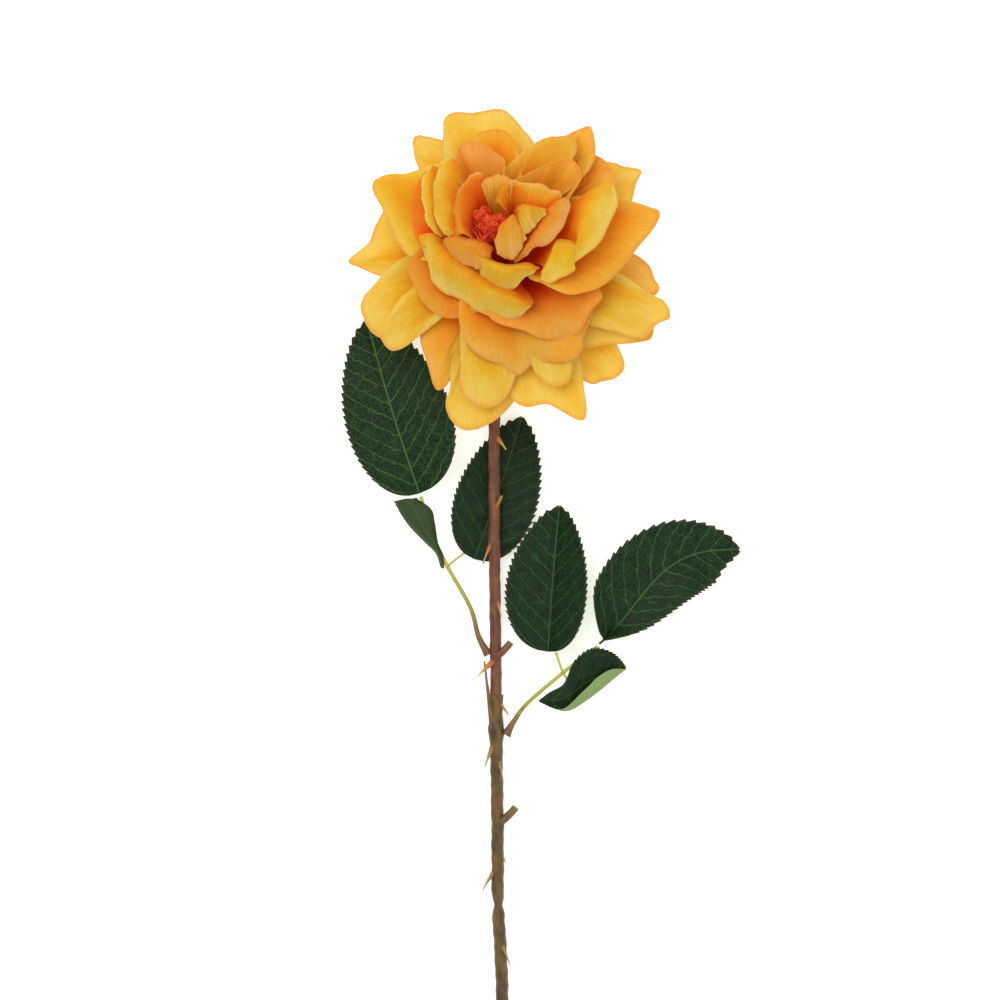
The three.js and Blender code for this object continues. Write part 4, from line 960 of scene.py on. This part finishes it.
def turnedSolid(outline, rows, sides):
    # a smooth outline of reach and rise turned about the bloom's axis, with the rise of every point
    curve = rimCurve(outline, np.linspace(0, 1, rows))
    turn = np.linspace(0, 2 * math.pi, sides, endpoint=False)
    ring = leaning(curve[:, :1], turn[None], curve[:, 1:] + 0 * turn[None])
    ends = leaning(0 * curve[[0, -1], 0], 0 * curve[[0, -1], 0], curve[[0, -1], 1])
    rise = np.append(np.repeat(curve[:, 1], sides), curve[[0, -1], 1])
    return np.concatenate([ring.reshape(-1, 3), ends]), tubeFaces(rows, sides), rise


sepalPlan = dict(count=5, turn=258, length=38, width=8, droop=7, cup=0.03, curl=0.25, wave=0.2,
                 thickness=0.5, room=0.65, foot=2, rows=40, columns=13)


def sepalSurface(turn):
    # a strap that is widest at a third of its length and hangs back towards the stem
    plan = sepalPlan
    v = np.linspace(0, 0.97, plan["rows"])[:, None]
    u = np.linspace(-1, 1, plan["columns"])[None]
    side = u * plan["width"] / 2 * (1 - v) ** 0.6 * (0.7 + 0.9 * v)
    reach = hipPlan["radius"] + plan["room"] + plan["length"] * v
    rise = bloomPlan["footRise"] - hipPlan["room"] - plan["foot"] - plan["droop"] * v ** 1.4
    rise = rise - plan["cup"] * side ** 2 + (plan["curl"] + plan["wave"] * np.sin(v * 14)) * np.abs(u)
    return leaning(np.hypot(reach, side), math.radians(turn) + np.arctan2(side, reach), rise)


def calyxMaterial():
    material, tree, shader = newMaterial("calyxSkin", 0.5)
    place = node(tree, "ShaderNodeTexCoord", {}, {}, out="Object")
    cloud = noise(tree, place, 260.0, 4.0)
    fibre = noise(tree, place, 1800.0, 2.0)
    color = ramp(tree, cloud, (0.3, (74, 92, 44)), (0.55, (104, 120, 58)), (0.75, (132, 84, 62)))
    join(tree, mixColor(tree, field(tree, "inside"), color, rgb(206, 62, 18)), shader, "Base Color")
    join(tree, bump(tree, cloud * 0.6 + fibre * 0.4, 0.4, 0.0006), shader, "Normal")
    return material


def addCalyx():
    skin = calyxMaterial()
    points, faces, rise = turnedSolid(hipOutline(), 60, 40)
    inside = smooth(bloomPlan["footRise"] - 0.5, bloomPlan["footRise"] + 0.5, rise)
    finishPiece(meshObject("hip_skin", points * mm + seat, faces, {"inside": inside}), ["hip"], skin)
    for index in range(sepalPlan["count"]):
        turn = sepalPlan["turn"] + index * 360 / sepalPlan["count"]
        points, faces = sheetSolid(sepalSurface(turn) * mm + seat, sepalPlan["thickness"] * mm)
        name = f"sepal_{index + 1}"
        finishPiece(meshObject(name + "_skin", points, faces), [name], skin)
    print("hip and sepals:", 1 + sepalPlan["count"])


addCalyx()

heartPlan = dict(top=30.5, radius=6.6, stalk=1.1, folds=1.7, rows=90, sides=150)


def heartSurface():
    # a dome whose top is folded by ridged waves that wind about its middle
    plan = heartPlan
    foot = footOf(bloomPlan["layers"] - 1)[1]
    top, radius = plan["top"], plan["radius"]
    outline = [(plan["stalk"], foot), (plan["stalk"], foot + 12), (1.6, top * 0.62),
               (radius * 0.62, top * 0.8), (radius, top * 0.93), (radius * 0.8, top),
               (radius * 0.35, top - 0.6), (0.05, top - 1)]
    curve = rimCurve(outline, np.linspace(0, 1, plan["rows"]))
    turn = np.linspace(0, 2 * math.pi, plan["sides"], endpoint=False)[None]
    reach, rise = curve[:, :1], curve[:, 1:]
    crown = smooth(top * 0.84, top * 0.99, rise)
    wind = turn + reach * 0.5
    ridge = np.abs(np.sin(1.5 * wind + 0.4)) + 0.6 * np.abs(np.sin(3.5 * wind - 1.2 + reach * 0.6))
    ridge = ridge + 0.35 * np.sin(6 * wind + 2 + 1.3 * reach)
    ridge = ridge + 0.5 * np.sin(5 * turn + 2.1 * reach) * np.sin(9 * turn - 3 * reach)
    share = np.clip(reach / radius, 0, 1)
    newRise = rise + crown * plan["folds"] * (ridge - 1) * share
    newReach = reach * (1 + 0.22 * crown * np.sin(3 * turn + 1) + 0.1 * crown * np.sin(7 * turn + 2.2))
    return newReach, turn + 0 * reach, newRise, ridge + 0 * reach


def heartMaterial():
    material, tree, shader = newMaterial("heartCloth", 0.85, Specular_IOR_Level=0.15)
    place = node(tree, "ShaderNodeTexCoord", {}, {}, out="Object")
    cloud = noise(tree, place, 300.0, 4.0)
    fine = noise(tree, place, 900.0, 3.0)
    fold = field(tree, "fold")
    # the colour follows the height of the folds: darker red in their valleys and lighter on their ridges,
    # painted shade in the creases and painted light on the crests
    color = ramp(tree, fold * 0.3 + 0.2 + (cloud - 0.5) * 1.4, (0.1, (166, 28, 14)), (0.45, (216, 62, 28)),
                 (0.7, (224, 84, 44)), (1.0, (230, 112, 54)))
    join(tree, color, shader, "Base Color")
    join(tree, bump(tree, cloud + fine, 0.8, 0.0012), shader, "Normal")
    return material


def addHeart():
    reach, turn, rise, fold = heartSurface()
    rows, sides = reach.shape
    ring = leaning(reach, turn, rise)
    ends = leaning(np.zeros(2), np.zeros(2), np.array([rise[0].mean(), rise[-1].mean()]))
    points = np.concatenate([ring.reshape(-1, 3), ends]) * mm + seat
    # the folds' height, which the heart's colour turns into painted shade in the creases and painted light
    # on the crests
    fields = {"fold": np.concatenate([fold.ravel(), [0, 0]])}
    folds = meshObject("heart_folds", points, tubeFaces(rows, sides), fields)
    finishPiece(folds, ["heart"], heartMaterial())
    print("heart done")


addHeart()

# the table's side, the camera's height, and the width in view at one level over the table
stagePlan = dict(size=3.0, cameraHeight=4.0, levelHeight=0.03, frameWidth=0.363, worldStrength=0.55)
lightPlan = {
    "key": dict(place=(-0.4, 0.5, 1.2), aim=(0, 0.05, 0), size=0.9, power=9.5),
    "fill": dict(place=(0.8, -0.3, 1.1), aim=(0, 0, 0), size=1.2, power=5),
}


def addFloor():
    half = stagePlan["size"] / 2
    points = np.array([(-half, -half, 0), (half, -half, 0), (half, half, 0), (-half, half, 0)])
    floor = meshObject("table_top", points, np.array([(0, 1, 2, 3)]))
    material, _, shader = newMaterial("paleTable", 0.9)
    shader.inputs["Base Color"].default_value = (0.92, 0.92, 0.92, 1)
    shader.inputs["Emission Color"].default_value = (1, 1, 1, 1)
    shader.inputs["Emission Strength"].default_value = 0.5
    floor.data.materials.append(material)


def addLight(name, place, aim, size, power):
    lamp = bpy.data.lights.new(name, "AREA")
    lamp.size = size
    lamp.energy = power
    holder = bpy.data.objects.new(name, lamp)
    holder.location = place
    holder.rotation_euler = (Vector(aim) - Vector(place)).to_track_quat("-Z", "Y").to_euler()
    bpy.context.scene.collection.objects.link(holder)


def addCamera():
    # the picture's middle lies this far from the seat of the bloom
    camera = bpy.data.cameras.new("camera")
    camera.sensor_width = 36
    reach = stagePlan["cameraHeight"] - stagePlan["levelHeight"]
    camera.lens = camera.sensor_width * reach / stagePlan["frameWidth"]
    camera.clip_end = 20
    holder = bpy.data.objects.new("camera", camera)
    middle = seat - np.array(bloomPlan["seat"]) * mm
    holder.location = (middle[0], middle[1], stagePlan["cameraHeight"])
    bpy.context.scene.collection.objects.link(holder)
    bpy.context.scene.camera = holder


addFloor()
for lightName, light in lightPlan.items():
    addLight(lightName, **light)
world = bpy.data.worlds.new("studio")
bpy.context.scene.world = world
world.use_nodes = True
world.node_tree.nodes["Background"].inputs["Color"].default_value = (1, 1, 1, 1)
world.node_tree.nodes["Background"].inputs["Strength"].default_value = stagePlan["worldStrength"]
bpy.context.scene.view_settings.view_transform = "Standard"
addCamera()
print("table, lights and camera done")
